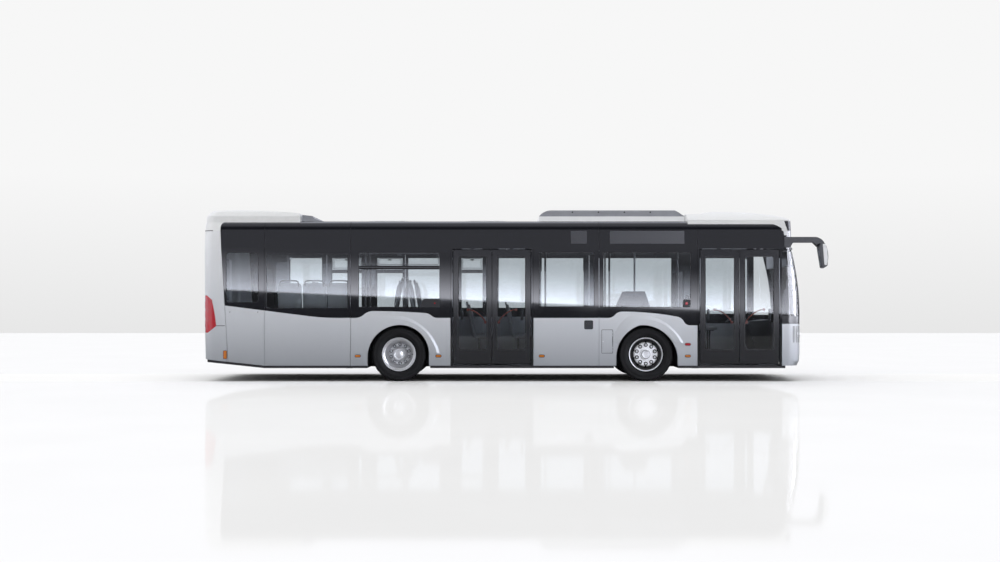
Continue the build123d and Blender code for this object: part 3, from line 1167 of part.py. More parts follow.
def mirror_head():
    """Side-view face of a mirror head."""
    arc = [(MIRROR_TIP - back, MIRROR_FOOT + rise) for back, rise in HEAD_ARC]
    points = [arc[0]] + [(MIRROR_TIP - back, MIRROR_FOOT + rise) for back, rise in HEAD_LINE] + [arc[1]]
    edges = [Line(a, b) for a, b in zip(points, points[1:])]
    return make_face(edges + [TangentArc(*arc, tangent=(0, 1))])


def mirror_piece(side):
    """One outside mirror with its arm, as one moulded piece."""
    arm = side_prism(mirror_arm(), *sorted((side * ARM_OUT[0], side * ARM_OUT[1])))
    head = side_prism(mirror_head(), *sorted((side * MIRROR_OUT[0], side * MIRROR_OUT[1])))
    return arm + head


header_block = front_top & ahead
dome_block = pieces["roof_front_dome"]
mirrors = [mirror_piece(side) - header_block - dome_block for _, side in SIDES]
pieces["mirrors"] = as_one(mirrors)

# Seats: moulded shells on pedestals
SEAT_WIDTH = 430.0
SEAT_SHELL = ((0, 0), (430, 25), (430, 70), (70, 58), (-60, 640), (-115, 640), (-40, 20))
PEDESTAL = (110.0, 300.0, 120.0)  # from, to, half width
SEAT_GAP = 42.0  # from the wall to the seat beside it
SEAT_PITCH = 460.0  # across the bus
WINDOW_SEAT = FLOOR_HALF - SEAT_GAP - SEAT_WIDTH / 2
AISLE_SEAT = WINDOW_SEAT - SEAT_PITCH
DRIVER_Y = FLOOR_HALF - 407.0
# columns: x, y, floor height, seat height, facing in degrees (0 forward, 90 to the left)
BENCH_Y = FLOOR_HALF - 190.0
X_BENCH = X_REAR_AXLE - 1523.0
SEATS = (
    (X_BENCH - 444.0, -BENCH_Y, PODIUM, 330.0, 90.0),
    (X_BENCH, -BENCH_Y, PODIUM, 330.0, 90.0),
    (X_BENCH + 444.0, -BENCH_Y, PODIUM, 330.0, 90.0),
    (X_BENCH - 140.0, WINDOW_SEAT, PODIUM, 330.0, 0.0),
    (X_BENCH - 140.0, AISLE_SEAT, PODIUM, 330.0, 0.0),
    (X_REAR_AXLE - 60.0, -WINDOW_SEAT, HOUSE_TOP + SHEET, 90.0, 180.0),
    (X_REAR_AXLE + 240.0, -WINDOW_SEAT, HOUSE_TOP + SHEET, 90.0, 0.0),
    (X_REAR_AXLE - 60.0, WINDOW_SEAT, HOUSE_TOP + SHEET, 90.0, 180.0),
    (X_REAR_AXLE + 240.0, WINDOW_SEAT, HOUSE_TOP + SHEET, 90.0, 0.0),
    (X_DOOR_2[0] + 350.0, WINDOW_SEAT, Z_FLOOR, 420.0, 0.0),
    (X_DOOR_2[0] + 350.0, AISLE_SEAT, Z_FLOOR, 420.0, 0.0),
    (X_DOOR_2[0] + 1100.0, WINDOW_SEAT, Z_FLOOR, 420.0, 0.0),
    (X_DOOR_2[0] + 1100.0, AISLE_SEAT, Z_FLOOR, 420.0, 0.0),
    (X_FRONT_AXLE + 1150.0, DRIVER_Y, Z_FLOOR, 560.0, 0.0),
)
seats = []
for x, y, base, height, facing in SEATS:
    shell = side_prism(make_face(Polyline(*SEAT_SHELL, close=True)), -SEAT_WIDTH / 2, SEAT_WIDTH / 2)
    foot = block(PEDESTAL[0], PEDESTAL[1], -PEDESTAL[2], PEDESTAL[2], -height, 30.0)
    seats.append(Pos(x, y, base + height) * Rot(0, 0, facing) * (shell + foot))
pieces["seats"] = as_one(seats)

# Grab poles from floor to ceiling: x, y, floor height
POLE = 17.0
POLES = (
    (X_SEAM_2 + 180.0, -420.0, Z_FLOOR),
    (X_SEAM_2 + 180.0, 420.0, Z_FLOOR),
    (X_DOOR_2[0] - 140.0, -500.0, Z_FLOOR),
    (X_DOOR_2[1] + 240.0, -500.0, Z_FLOOR),
    (X_DOOR_2[1] + 100.0, 220.0, Z_FLOOR),
    (X_SEAM_3 + 250.0, -500.0, Z_FLOOR),
    (X_SEAM_3 + 250.0, 450.0, Z_FLOOR),
    (X_DOOR_1[0] - 240.0, -480.0, Z_FLOOR),
    (X_FRONT_AXLE - 161.0, -800.0, HOUSE_TOP + SHEET + CONSOLE[2][1]),
)


def ceiling(y):
    """Height of the roof's inner face at y."""
    edge_y, edge_z = roof_edge_point(ROOF_EDGE_RADIUS - ROOF_THICKNESS, 90 - ROOF_EDGE_SLOPE)
    bend = edge_y / sin(radians(ROOF_EDGE_SLOPE))
    return edge_z - bend * cos(radians(ROOF_EDGE_SLOPE)) + sqrt(bend**2 - y**2)


poles = []
for x, y, base in POLES:
    poles.append(z_cylinder(x, y, base, ceiling(abs(y) + POLE) - RUNNING_CLEARANCE, POLE))
pieces["grab_poles"] = as_one(poles)

# Driver's place: dashboard with steering column and wheel, cab partition
DASH_GAP = 137.0  # from the left wall
DASH = (X_PILLAR - 330.0, X_PILLAR + 120.0, 180.0, FLOOR_HALF - DASH_GAP)  # rear, front, inner and outer side
DASH_TOPS = (700.0, 760.0, 792.0)  # heights above the floor of the rear edge, the brow and the front
DASH_BROW = 60.0
DASH_FOOT = 200.0
dash_points = [(DASH[0], DASH_TOPS[0]), (DASH[0] + DASH_BROW, DASH_TOPS[1]), (DASH[1], DASH_TOPS[2]),
               (DASH[1], 0.0), (DASH[1] - DASH_FOOT, 0.0)]
dash_profile = make_face(Polyline(*[(x, Z_FLOOR + z) for x, z in dash_points], close=True))
dash = side_prism(dash_profile, DASH[2], DASH[3])
WHEEL_AT = (X_PILLAR - 420.0, DRIVER_Y, Z_FLOOR + 842.0)
STEER_TILT = 28.0
STEER_RING = (225.0, 16.0)  # radius of the rim and of its bar
SPOKE = (430.0, 40.0, 22.0)
STEER_COLUMN = (32.0, 280.0, 130.0)  # radius, length, how far its middle lies under the rim
ring = Torus(*STEER_RING) + Box(*SPOKE) + Box(SPOKE[1], SPOKE[0], SPOKE[2])
ring = ring + Pos(0, 0, -STEER_COLUMN[2]) * Cylinder(*STEER_COLUMN[:2])
dash = dash + Pos(*WHEEL_AT) * Rot(0, -STEER_TILT, 0) * ring
pieces["driver_desk"] = as_one([dash])
PARTITION = (25.0, 350.0, 2000.0)  # thickness, inner edge from the middle, top
X_PARTITION = X_FRONT_AXLE + 880.0
pieces["cab_partition"] = block(
    X_PARTITION, X_PARTITION + PARTITION[0], PARTITION[1], FLOOR_HALF, Z_FLOOR, PARTITION[2])

os.makedirs("parts", exist_ok=True)
for name, shape in pieces.items():
    export_step(shape, f"parts/{name}.step")
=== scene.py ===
"""City bus: finishes, fittings, seats, tyres and a pale studio, laid out as an add-on that also runs as a script."""

import math

import bmesh
import bpy
from mathutils import Matrix, Vector
from mathutils.bvhtree import BVHTree


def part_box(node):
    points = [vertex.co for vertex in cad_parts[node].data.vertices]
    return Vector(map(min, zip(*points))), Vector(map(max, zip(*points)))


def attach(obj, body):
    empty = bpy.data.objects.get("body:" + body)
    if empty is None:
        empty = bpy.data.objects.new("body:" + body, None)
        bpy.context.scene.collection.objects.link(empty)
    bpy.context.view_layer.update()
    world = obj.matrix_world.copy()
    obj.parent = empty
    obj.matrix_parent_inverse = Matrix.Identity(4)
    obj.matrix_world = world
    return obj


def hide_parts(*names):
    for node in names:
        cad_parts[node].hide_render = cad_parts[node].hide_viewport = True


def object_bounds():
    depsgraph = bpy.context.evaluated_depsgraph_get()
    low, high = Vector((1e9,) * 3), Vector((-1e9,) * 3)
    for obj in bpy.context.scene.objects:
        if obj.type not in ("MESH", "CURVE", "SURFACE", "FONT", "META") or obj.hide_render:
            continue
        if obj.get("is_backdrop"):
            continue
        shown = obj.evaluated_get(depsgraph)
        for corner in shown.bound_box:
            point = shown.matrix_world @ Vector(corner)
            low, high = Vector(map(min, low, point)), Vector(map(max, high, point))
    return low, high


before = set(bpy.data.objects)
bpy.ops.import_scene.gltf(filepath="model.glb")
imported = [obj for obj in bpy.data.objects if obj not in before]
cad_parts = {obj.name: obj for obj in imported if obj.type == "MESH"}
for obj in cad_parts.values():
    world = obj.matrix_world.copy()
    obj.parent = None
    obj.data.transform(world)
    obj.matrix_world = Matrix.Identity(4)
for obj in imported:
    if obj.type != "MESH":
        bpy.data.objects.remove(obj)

bl_info = {
    "name": "City bus",
    "version": (1, 0, 0),
    "blender": (4, 5, 0),
    "location": "View3D > Sidebar > City bus",
    "description": "Finishes, fittings and studio for the low-floor city bus",
    "category": "Object",
}

ROOT = "bus_body"
SIDES = (("right", -1.0), ("left", 1.0))
PLACES = ("front", "rear")


# Settings


class BusPaintSettings(bpy.types.PropertyGroup):
    """Sizes of the detail in paint and plastic."""

    flake_scale: bpy.props.FloatProperty(
        name="Flake scale", description="Fineness of the flakes in the silver paint", default=900.0, min=10.0)
    grain_scale: bpy.props.FloatProperty(
        name="Grain scale", description="Fineness of the grain in plastic and rubber", default=260.0, min=10.0)
    # painted shade: how far the silver paint is darkened at the sill, standing in for the shade low on the sides
    painted_sill_shade: bpy.props.FloatProperty(
        name="Painted sill shade", description="How much darker the skirts are at the sill", default=0.61, min=0.0, max=1.0,
        subtype="FACTOR")
    glow: bpy.props.FloatProperty(
        name="Glow", description="Strength of the cabin's ceiling lamps", default=0.5, min=0.0)


class BusTyreSettings(bpy.types.PropertyGroup):
    """Tread and sidewall of the tyres."""

    steps: bpy.props.IntProperty(
        name="Steps", description="Steps round the tyre", default=120, min=24, max=240)
    groove_depth: bpy.props.FloatProperty(
        name="Groove depth", description="Depth of the tread grooves", default=0.013, unit="LENGTH")
    groove_width: bpy.props.FloatProperty(
        name="Groove width", description="Width of the tread grooves", default=0.010, unit="LENGTH")
    notch: bpy.props.FloatProperty(
        name="Shoulder notch", description="Depth of the notches along the shoulders", default=0.006, unit="LENGTH")


class BusTrimSettings(bpy.types.PropertyGroup):
    """Seals, rails and small fittings."""

    seal: bpy.props.FloatProperty(
        name="Seal width", description="Width of the rubber seals round the glass", default=0.012, unit="LENGTH")
    strap: bpy.props.FloatProperty(
        name="Strap length", description="Length of the hanging grab straps", default=0.43, unit="LENGTH")
    rail: bpy.props.FloatProperty(
        name="Rail radius", description="Radius of the grab rails", default=0.016, unit="LENGTH")


class BusStageSettings(bpy.types.PropertyGroup):
    """Camera, floor and light."""

    distance: bpy.props.FloatProperty(
        name="Distance", description="Camera to the near side of the bus", default=22.0, unit="LENGTH")
    eye: bpy.props.FloatProperty(
        name="Eye height", description="Camera above the floor", default=1.34, unit="LENGTH")
    along: bpy.props.FloatProperty(
        name="Along", description="Camera's place ahead of the rear axle", default=1.80, unit="LENGTH")
    lens: bpy.props.FloatProperty(
        name="Lens", description="Focal length in millimetres", default=44.6)
    ambient: bpy.props.FloatProperty(
        name="Ambient", description="Strength of the soft light from all round", default=0.28)
    overhead: bpy.props.FloatProperty(
        name="Overhead", description="How much the soft light grows towards the zenith", default=0.45)
    behind: bpy.props.FloatProperty(
        name="Behind", description="Strength of the soft light from behind the bus", default=0.30)
    key: bpy.props.FloatProperty(
        name="Key", description="Strength of the wide soft light above the bus", default=1.2)
    strip: bpy.props.FloatProperty(
        name="Strip", description="Strength of the low light strip that the glass reflects", default=5.3)
    ahead: bpy.props.FloatProperty(
        name="Ahead", description="Strength of the light ahead that the windscreen reflects", default=9.0)


# Helpers for finishes


def linear(level):
    """One display level from 0 to 255 as linear light."""
    share = level / 255.0
    return share / 12.92 if share <= 0.04045 else ((share + 0.055) / 1.055) ** 2.4


def tone(*levels):
    """A colour given in display levels, as linear light."""
    return tuple(linear(v) for v in levels)


class Nodes:
    """Builds a node tree."""

    def __init__(self, tree):
        self.tree = tree
        self.tree.nodes.clear()

    def add(self, kind, inputs=None, **attributes):
        """A new node with its attributes set, and its inputs set or linked."""
        node = self.tree.nodes.new(kind)
        for key, value in attributes.items():
            setattr(node, key, value)
        for key, value in (inputs or {}).items():
            if isinstance(value, bpy.types.NodeSocket):
                self.tree.links.new(value, node.inputs[key])
            else:
                node.inputs[key].default_value = value
        return node

    def math(self, operation, a, b=0.0, c=0.0, clamp=False):
        """One arithmetic node."""
        node = self.add("ShaderNodeMath", {0: a, 1: b, 2: c}, operation=operation, use_clamp=clamp)
        return node.outputs[0]

    def choose(self, share, a, b):
        """One number where the share is 1 and the other where it is 0."""
        rest = self.math("SUBTRACT", 1.0, share)
        return self.math("ADD", self.math("MULTIPLY", share, a), self.math("MULTIPLY", rest, b))

    def span(self, value, start, end, low=0.0, high=1.0):
        """A value carried from one range to another and held at the ends."""
        places = {"Value": value, "From Min": start, "From Max": end, "To Min": low, "To Max": high}
        return self.add("ShaderNodeMapRange", places).outputs["Result"]


class Graph(Nodes):
    """Builds one material's node tree."""

    def __init__(self, name):
        self.material = bpy.data.materials.new(name)
        self.material.use_nodes = True
        super().__init__(self.material.node_tree)
        self.out = self.add("ShaderNodeOutputMaterial")
        self.place = self.add("ShaderNodeTexCoord").outputs["Object"]

    def noise(self, scale, detail=3.0):
        """The grey value of a noise in the object's own place."""
        node = self.add("ShaderNodeTexNoise", {"Scale": scale, "Detail": detail, "Vector": self.place})
        return node.outputs["Fac"]

    def ramp(self, value, stops):
        """A colour ramp through (position, colour) stops."""
        node = self.add("ShaderNodeValToRGB", {"Fac": value})
        elements = node.color_ramp.elements
        while len(elements) < len(stops):
            elements.new(0.5)
        for element, (position, colour) in zip(elements, stops):
            element.position = position
            element.color = (*colour, 1.0)
        return node.outputs["Color"]

    def between(self, value, dark, light, start=0.3, end=0.7):
        """A ramp from one colour or grey level to another."""
        ends = [(v,) * 3 if isinstance(v, float) else v for v in (dark, light)]
        return self.ramp(value, tuple(zip((start, end), ends)))

    def total(self, a, a_share, b, b_share):
        """Two values added by their shares."""
        return self.math("ADD", self.math("MULTIPLY", a, a_share), self.math("MULTIPLY", b, b_share))

    def mixed(self, share, a, b):
        """Two shaders mixed by a share."""
        return self.add("ShaderNodeMixShader", {"Fac": share, 1: a, 2: b}).outputs["Shader"]

    def axis(self, name):
        """One coordinate of the object's own place."""
        return self.add("ShaderNodeSeparateXYZ", {"Vector": self.place}).outputs[name]

    def bump(self, height, strength, distance=0.001):
        """A relief from a grey value."""
        node = self.add("ShaderNodeBump", {"Height": height, "Strength": strength, "Distance": distance})
        return node.outputs["Normal"]

    def blend(self, share, a, b, kind="MIX"):
        """Two colours mixed by a share."""
        node = self.add("ShaderNodeMix", {"Factor": share}, data_type="RGBA", blend_type=kind)
        self.tree.links.new(a, node.inputs["A"])
        self.tree.links.new(b, node.inputs["B"])
        return node.outputs["Result"]

    def mirror(self, roughness):
        """A plain mirror."""
        values = {"Color": (1.0, 1.0, 1.0, 1.0), "Roughness": roughness}
        return self.add("ShaderNodeBsdfGlossy", values).outputs["BSDF"]

    def surface(self, socket):
        """Joins the finished shader to the output."""
        self.tree.links.new(socket, self.out.inputs["Surface"])
        return self.material

    def principled(self, **inputs):
        """A principled shader with spaces in its input names written as underscores."""
        node = self.add("ShaderNodeBsdfPrincipled", {k.replace("_", " "): v for k, v in inputs.items()})
        return node.outputs["BSDF"]


def grained(name, dark, light, roughness, scale, relief=0.0, coat=0.0, rough_spread=0.12, shine=0.5):
    """A finish whose colour, roughness and relief vary with a fine noise."""
    g = Graph(name)
    fine, broad = g.noise(scale), g.noise(scale / 40.0)
    value = g.total(fine, 0.6, broad, 0.4)
    colour = g.between(value, dark, light)
    rough = g.math("MULTIPLY_ADD", value, rough_spread, roughness - rough_spread / 2)
    values = {"Base_Color": colour, "Roughness": rough, "Coat_Weight": coat, "Coat_Roughness": 0.05,
              "Specular_IOR_Level": shine}
    if relief:
        values["Normal"] = g.bump(fine, relief)
    return g.surface(g.principled(**values))


def silver_paint(settings):
    """Metallic silver with fine flakes, darkened by painted shade more and more towards the sill."""
    g = Graph("silver_paint")
    flakes = g.noise(settings.flake_scale, 2.0)
    # painted shade: darker and a little bluer towards the sill, back to the paint's own colour at the top
    height = g.span(g.axis("Z"), *SILL_SHADE_HEIGHTS)
    low = 1.0 - settings.painted_sill_shade
    sill = (low, low * 1.04, low * 1.11)
    painted_shade = g.ramp(height, ((0.0, sill), (0.38, (0.73, 0.745, 0.775)), (1.0, (1.0, 1.0, 1.0))))
    body = g.between(flakes, tone(246, 248, 250), tone(253, 254, 255))
    colour = g.blend(1.0, body, painted_shade, "MULTIPLY")
    rough = g.between(flakes, 0.36, 0.46)
    shader = g.principled(Base_Color=colour, Roughness=rough, Metallic=0.12, Coat_Weight=0.25,
                          Coat_Roughness=0.08)
    return g.surface(shader)


def ahead_of_sign(g):
    """1 ahead of the leaning edge of the dark front above the windscreen, 0 behind it."""
    start, top, lean = SIGN_EDGE
    line = g.math("MULTIPLY", g.math("SUBTRACT", top, g.axis("Z")), lean)
    ahead = g.math("GREATER_THAN", g.math("SUBTRACT", g.axis("X"), line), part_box("windscreen")[0].x + start)
    return g.math("MULTIPLY", ahead, g.math("LESS_THAN", g.axis("Z"), top))


def past_corner(g, way, corner, size):
    """1 outside a rounded top corner of the band, 0 inside it and away from it."""
    steps = []
    for axis, sign, middle, reach in (("X", way, corner[0], size[0]), ("Z", 1.0, corner[1], size[1])):
        away = g.math("MULTIPLY", g.math("SUBTRACT", g.axis(axis), middle), sign / reach)
        steps.append(g.math("MAXIMUM", away))
    powers = [g.math("POWER", step, BAND_ROUND) for step in steps]
    outside = g.math("GREATER_THAN", g.math("ADD", *powers), 1.0)
    for step in steps:
        outside = g.math("MULTIPLY", outside, g.math("GREATER_THAN", step, 0.0))
    return outside


def band_gloss():
    """Near-black glossy panel of the window band, with a faint speckle and pale rounded corners at its top."""
    g = Graph("band_gloss")
    speck = g.noise(700.0, 2.0)
    broad = g.noise(1.3, 2.0)
    colour = g.between(speck, tone(20, 21, 27), tone(27, 28, 34), 0.35, 0.65)
    rough = g.between(broad, 0.02, 0.045, 0.2, 0.8)
    dark = g.principled(Base_Color=colour, Roughness=rough, IOR=1.5, Coat_Weight=1.0, Coat_Roughness=0.015)
    white = g.between(speck, tone(226, 228, 231), tone(238, 239, 241))
    pale = g.principled(Base_Color=white, Roughness=0.3)
    low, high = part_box("cove_panels_right")
    front = past_corner(g, 1.0, (high.x - 0.660, high.z - 0.254), (0.700, 0.256))
    front = g.math("MULTIPLY", front, g.math("SUBTRACT", 1.0, ahead_of_sign(g)))
    rear = past_corner(g, -1.0, (low.x + 0.130, high.z - 0.130), (0.130, 0.130))
    return g.surface(g.mixed(g.math("MAXIMUM", front, rear), dark, pale))


def dome_paint(settings):
    """White paint of the front dome, dark ahead of the sign's edge."""
    g = Graph("dome_paint")
    grain = g.noise(settings.grain_scale * 2)
    pale = g.between(grain, tone(236, 237, 238), tone(246, 247, 248))
    dark = g.between(grain, tone(20, 21, 25), tone(30, 31, 36))
    colour = g.blend(ahead_of_sign(g), pale, dark)
    rough = g.between(grain, 0.26, 0.38)
    return g.surface(g.principled(Base_Color=colour, Roughness=rough, Coat_Weight=0.4, Coat_Roughness=0.05))


def window_glass(name, tint, reflection, frit=None):
    """Clear tinted glass that mirrors a share of the light; below the frit's height it is dark."""
    g = Graph(name)
    cloud = g.noise(2.2, 2.0)
    clear = g.between(cloud, tuple(c * 0.985 for c in tint), tint, 0.2, 0.8)
    through = g.add("ShaderNodeBsdfTransparent", {"Color": clear}).outputs["BSDF"]
    mirror = g.mirror(0.015)
    edge = g.add("ShaderNodeFresnel", {"IOR": reflection}).outputs["Fac"]
    pane = g.mixed(edge, through, mirror)
    if frit:
        dark = g.principled(Base_Color=(*tone(24, 25, 30), 1.0), Roughness=0.08, Coat_Weight=0.5)
        pane = g.mixed(g.math("LESS_THAN", g.axis("Z"), frit), pane, dark)
    return g.surface(pane)


def ribbed_lens(name, dark, light, pitch, axis="Z"):
    """A lamp lens with fine ribs across it."""
    g = Graph(name)
    wave = g.math("SINE", g.math("MULTIPLY", g.axis(axis), 2.0 * math.pi / pitch))
    share = g.math("MULTIPLY_ADD", wave, 0.5, 0.5)
    value = g.total(share, 0.7, g.noise(90.0), 0.3)
    colour = g.between(value, dark, light, 0.15, 0.9)
    shader = g.principled(Base_Color=colour, Roughness=0.12, Coat_Weight=0.8, Coat_Roughness=0.03,
                          Normal=g.bump(share, 0.35))
    return g.surface(shader)


def woven(name, dark, light, pitch):
    """A woven fabric."""
    g = Graph(name)
    weave = g.add("ShaderNodeTexChecker", {"Scale": 1.0 / pitch, "Vector": g.place}).outputs["Fac"]
    value = g.total(weave, 0.45, g.noise(140.0), 0.55)
    colour = g.between(value, dark, light, 0.2, 0.8)
    shader = g.principled(Base_Color=colour, Roughness=0.85, Sheen_Weight=0.25, Normal=g.bump(value, 0.4))
    return g.surface(shader)


def glowing(name, dark, light, scale, strength):
    """A lit lamp cover."""
    g = Graph(name)
    colour = g.between(g.noise(scale), dark, light)
    return g.surface(g.principled(Base_Color=colour, Roughness=0.4, Emission_Color=colour,
                                  Emission_Strength=strength))


def brushed_steel(name, dark, light, roughness, scale=60.0, metallic=0.9, axle=None, rings=()):
    """Steel with streaks left by turning; rings darken it by the distance from a wheel's middle, as painted shade in
    the wheel's well and grooves.
    """
    g = Graph(name)
    turned = {"Scale": scale, "Detail": 4.0, "Distortion": 0.6, "Vector": g.place}
    streak = g.add("ShaderNodeTexNoise", turned).outputs["Fac"]
    fine = g.noise(scale * 9.0)
    value = g.total(streak, 0.5, fine, 0.5)
    colour = g.between(value, dark, light)
    # painted shade: the rings darken the recessed well and grooves of the wheel
    if rings:
        parts = [g.math("SUBTRACT", g.axis(a), c) for a, c in zip("XZ", (axle.x, axle.z))]
        reach = g.math("SQRT", g.math("ADD", *[g.math("MULTIPLY", d, d) for d in parts]))
        shade = g.ramp(g.math("DIVIDE", reach, RING_REACH), [(r / RING_REACH, (v,) * 3) for r, v in rings])
        colour = g.blend(1.0, colour, shade, "MULTIPLY")
    rough = g.between(value, roughness, roughness + 0.14)
    return g.surface(g.principled(Base_Color=colour, Roughness=rough, Metallic=metallic,
                                  Normal=g.bump(fine, 0.08)))


def dotted_panel(name, back, dot, pitch):
    """A blank display panel: dark rows of unlit points."""
    g = Graph(name)
    waves = [g.math("SINE", g.math("MULTIPLY", g.axis(a), 2.0 * math.pi / pitch)) for a in ("X", "Z")]
    value = g.math("MULTIPLY", *waves, clamp=True)
    cloudy = g.math("ADD", value, g.math("MULTIPLY", g.noise(30.0), 0.2))
    colour = g.between(cloudy, back, dot, 0.1, 0.9)
    return g.surface(g.principled(Base_Color=colour, Roughness=0.3, Coat_Weight=0.4))


MATERIALS = {}
# the cove panels' outside as (in from the widest, down from the top)
COVE_SECTION = ((0.0, 0.494), (0.030, 0.169), (0.034, 0.133), (0.045, 0.099), (0.063, 0.068), (0.088, 0.042),
                (0.117, 0.021), (0.150, 0.007), (0.183, 0.001))
SILL_SHADE_HEIGHTS = (0.24, 2.60)  # painted shade on the silver paint is darkest at the first height and gone at the second
BAND_ROUND = 2.6  # fullness of the band's rounded corners
# the front sign's edge: its start ahead of the windscreen's rear end, its top and its lean
SIGN_EDGE = (0.060, 2.858, 0.24)
RING_REACH = 0.40  # radius within which the rings below lie
# painted shade on the wheels' steel by the distance from the hub: bright hub, disc and lip, with the well and the
# grooves darkened as painted shade
FRONT_RINGS = ((0.0, 1.0), (0.055, 1.0), (0.060, 0.30), (0.078, 0.30), (0.084, 1.0), (0.214, 1.0), (0.222, 0.10),
               (0.296, 0.06), (0.301, 1.0))
REAR_RINGS = ((0.0, 1.0), (0.066, 0.95), (0.072, 0.30), (0.090, 0.95), (0.130, 0.95), (0.140, 0.85), (0.182, 0.80),
              (0.200, 0.70), (0.285, 0.80), (0.291, 0.12), (0.297, 0.12), (0.301, 1.0))
NUTS, NUT_RING = 10, 0.1675  # wheel nuts and the radius of their circle
HATCH_PLACES = (-2.3, -0.5)  # roof hatches along the bus
RAIL_SIDE = 0.62  # ceiling rails from the middle of the bus
STRAPS_BEHIND = (1.849, 1.776, 1.063, 0.606)  # straps behind the front axle
SPRING_SIDE, SPRING_SHIFT = 0.40, 0.30  # air springs from the middle of the bus and of the axle
FLOOR_CORNERS = ((-70.0, -34.0), (70.0, -34.0), (70.0, 38.0), (-70.0, 38.0))


def wheel_middle(node):
    """Middle of a wheel or an axle."""
    low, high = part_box(node)
    return (low + high) / 2


def make_materials(settings):
    """All finishes by slot and by fitting."""
    fine = settings.grain_scale
    MATERIALS.update({
        "silver_paint": silver_paint(settings),
        "white_paint": grained("white_paint", tone(236, 237, 238), tone(246, 247, 248), 0.32, fine * 2, 0.02,
                               coat=0.4),
        "band_gloss": band_gloss(),
        "glass": window_glass("glass", (0.855, 0.88, 0.895), 1.62),
        "screen_glass": window_glass("screen_glass", (0.975, 0.98, 0.985), 1.40,
                                     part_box("windscreen")[0].z + 0.145),
        "ac_grey": grained("ac_grey", tone(136, 138, 144), tone(156, 158, 165), 0.5, fine, 0.12),
        "ac_light": grained("ac_light", tone(240, 241, 243), tone(250, 251, 252), 0.45, fine, 0.06),
        "dome_paint": dome_paint(settings),
        "red_lens": ribbed_lens("red_lens", tone(150, 12, 22), tone(234, 42, 60), 0.014),
        "clear_lens": ribbed_lens("clear_lens", tone(150, 154, 160), tone(226, 230, 236), 0.03, "Y"),
        "amber_lens": ribbed_lens("amber_lens", tone(190, 92, 14), tone(242, 150, 44), 0.012, "X"),
        "sign_panel": dotted_panel("sign_panel", tone(62, 63, 68), tone(74, 75, 80), 0.012),
        "black_plastic": grained("black_plastic", tone(24, 25, 28), tone(36, 37, 41), 0.42, fine, 0.10),
        "door_gloss": grained("door_gloss", tone(24, 25, 30), tone(31, 32, 38), 0.10, fine * 2, coat=0.6,
                              rough_spread=0.04),
        "floor_covering": grained("floor_covering", tone(44, 45, 48), tone(78, 79, 83), 0.7, fine, 0.15),
        "chassis_dark": grained("chassis_dark", tone(16, 16, 18), tone(30, 30, 32), 0.7, fine / 3, 0.2),
        "seat_fabric": woven("seat_fabric", tone(160, 163, 170), tone(194, 197, 203), 0.012),
        "seat_shell": grained("seat_shell", tone(198, 200, 204), tone(214, 216, 220), 0.45, fine, 0.08),
        "grab_yellow": grained("grab_yellow", tone(176, 96, 84), tone(206, 120, 104), 0.35, fine, 0.05, coat=0.3),
        "pole_grey": grained("pole_grey", tone(128, 128, 131), tone(150, 150, 153), 0.35, fine, 0.05, coat=0.3),
        "tyre": grained("tyre", tone(6, 6, 7), tone(14, 14, 15), 0.72, fine / 2, 0.22, shine=0.25),
        "wheel_front": brushed_steel("wheel_front", tone(214, 215, 218), tone(248, 249, 251), 0.30, metallic=0.4,
                                     axle=wheel_middle("front_wheel_right"), rings=FRONT_RINGS),
        "wheel_rear": brushed_steel("wheel_rear", tone(214, 215, 218), tone(248, 249, 251), 0.30, metallic=0.4,
                                    axle=wheel_middle("rear_wheel_right"), rings=REAR_RINGS),
        "wheel_shade": brushed_steel("wheel_shade", tone(52, 53, 56), tone(96, 97, 100), 0.42, metallic=0.6),
        "chassis_black": grained("chassis_black", tone(20, 20, 22), tone(40, 40, 42), 0.6, fine / 3, 0.2),
        "rubber": grained("rubber", tone(14, 14, 16), tone(26, 26, 28), 0.6, fine, 0.12),
        "trim_bright": brushed_steel("trim_bright", tone(200, 202, 206), tone(240, 242, 245), 0.26, metallic=0.5),
        "trim_grey": brushed_steel("trim_grey", tone(70, 71, 76), tone(104, 105, 110), 0.3, metallic=0.5),
        "lamp_white": glowing("lamp_white", tone(216, 218, 222), tone(240, 241, 243), fine, settings.glow),
        "mirror_face": brushed_steel("mirror_face", tone(168, 174, 182), tone(206, 211, 218), 0.04, 8.0),
    })


def cad_finish(node):
    """The finish of one CAD node."""
    by_word = (
        ("skirt", "silver_paint"), ("front_panel", "silver_paint"), ("rear_panel", "silver_paint"),
        ("_flap", "silver_paint"), ("window_band", "band_gloss"), ("cove_panels", "band_gloss"),
        ("front_header", "band_gloss"), ("rear_header", "silver_paint"),
        ("door_frames", "band_gloss"), ("_leaf_", "door_gloss"), ("_glass", "glass"), ("windscreen", "screen_glass"),
        ("rear_window", "glass"), ("_column_", "wheel_shade"), ("ac_cover", "ac_grey"), ("roof_vent", "ac_grey"),
        ("ac_base", "ac_light"), ("roof_front_dome", "dome_paint"), ("roof", "white_paint"),
        ("tail_lamps", "red_lens"), ("headlamps", "clear_lens"),
        ("marker", "amber_lens"), ("sign", "sign_panel"), ("mirrors", "black_plastic"), ("desk", "black_plastic"),
        ("floor_platform", "chassis_dark"), ("wheel_houses", "floor_covering"), ("podium", "floor_covering"),
        ("partition", "black_plastic"), ("seats", "seat_shell"), ("poles", "pole_grey"), ("tyre", "tyre"),
        ("front_wheel_", "wheel_front"), ("rear_wheel_", "wheel_rear"), ("axle", "chassis_black"),
        ("knuckle", "chassis_black"), ("engine", "chassis_black"),
    )
    for word, finish in by_word:
        if word in node:
            return finish
    raise RuntimeError(f"no finish is set for {node}")


# Helpers for meshes


def turns(count, shift=0.0):
    """Even angles round a circle."""
    return [2.0 * math.pi * (i + shift) / count for i in range(count)]


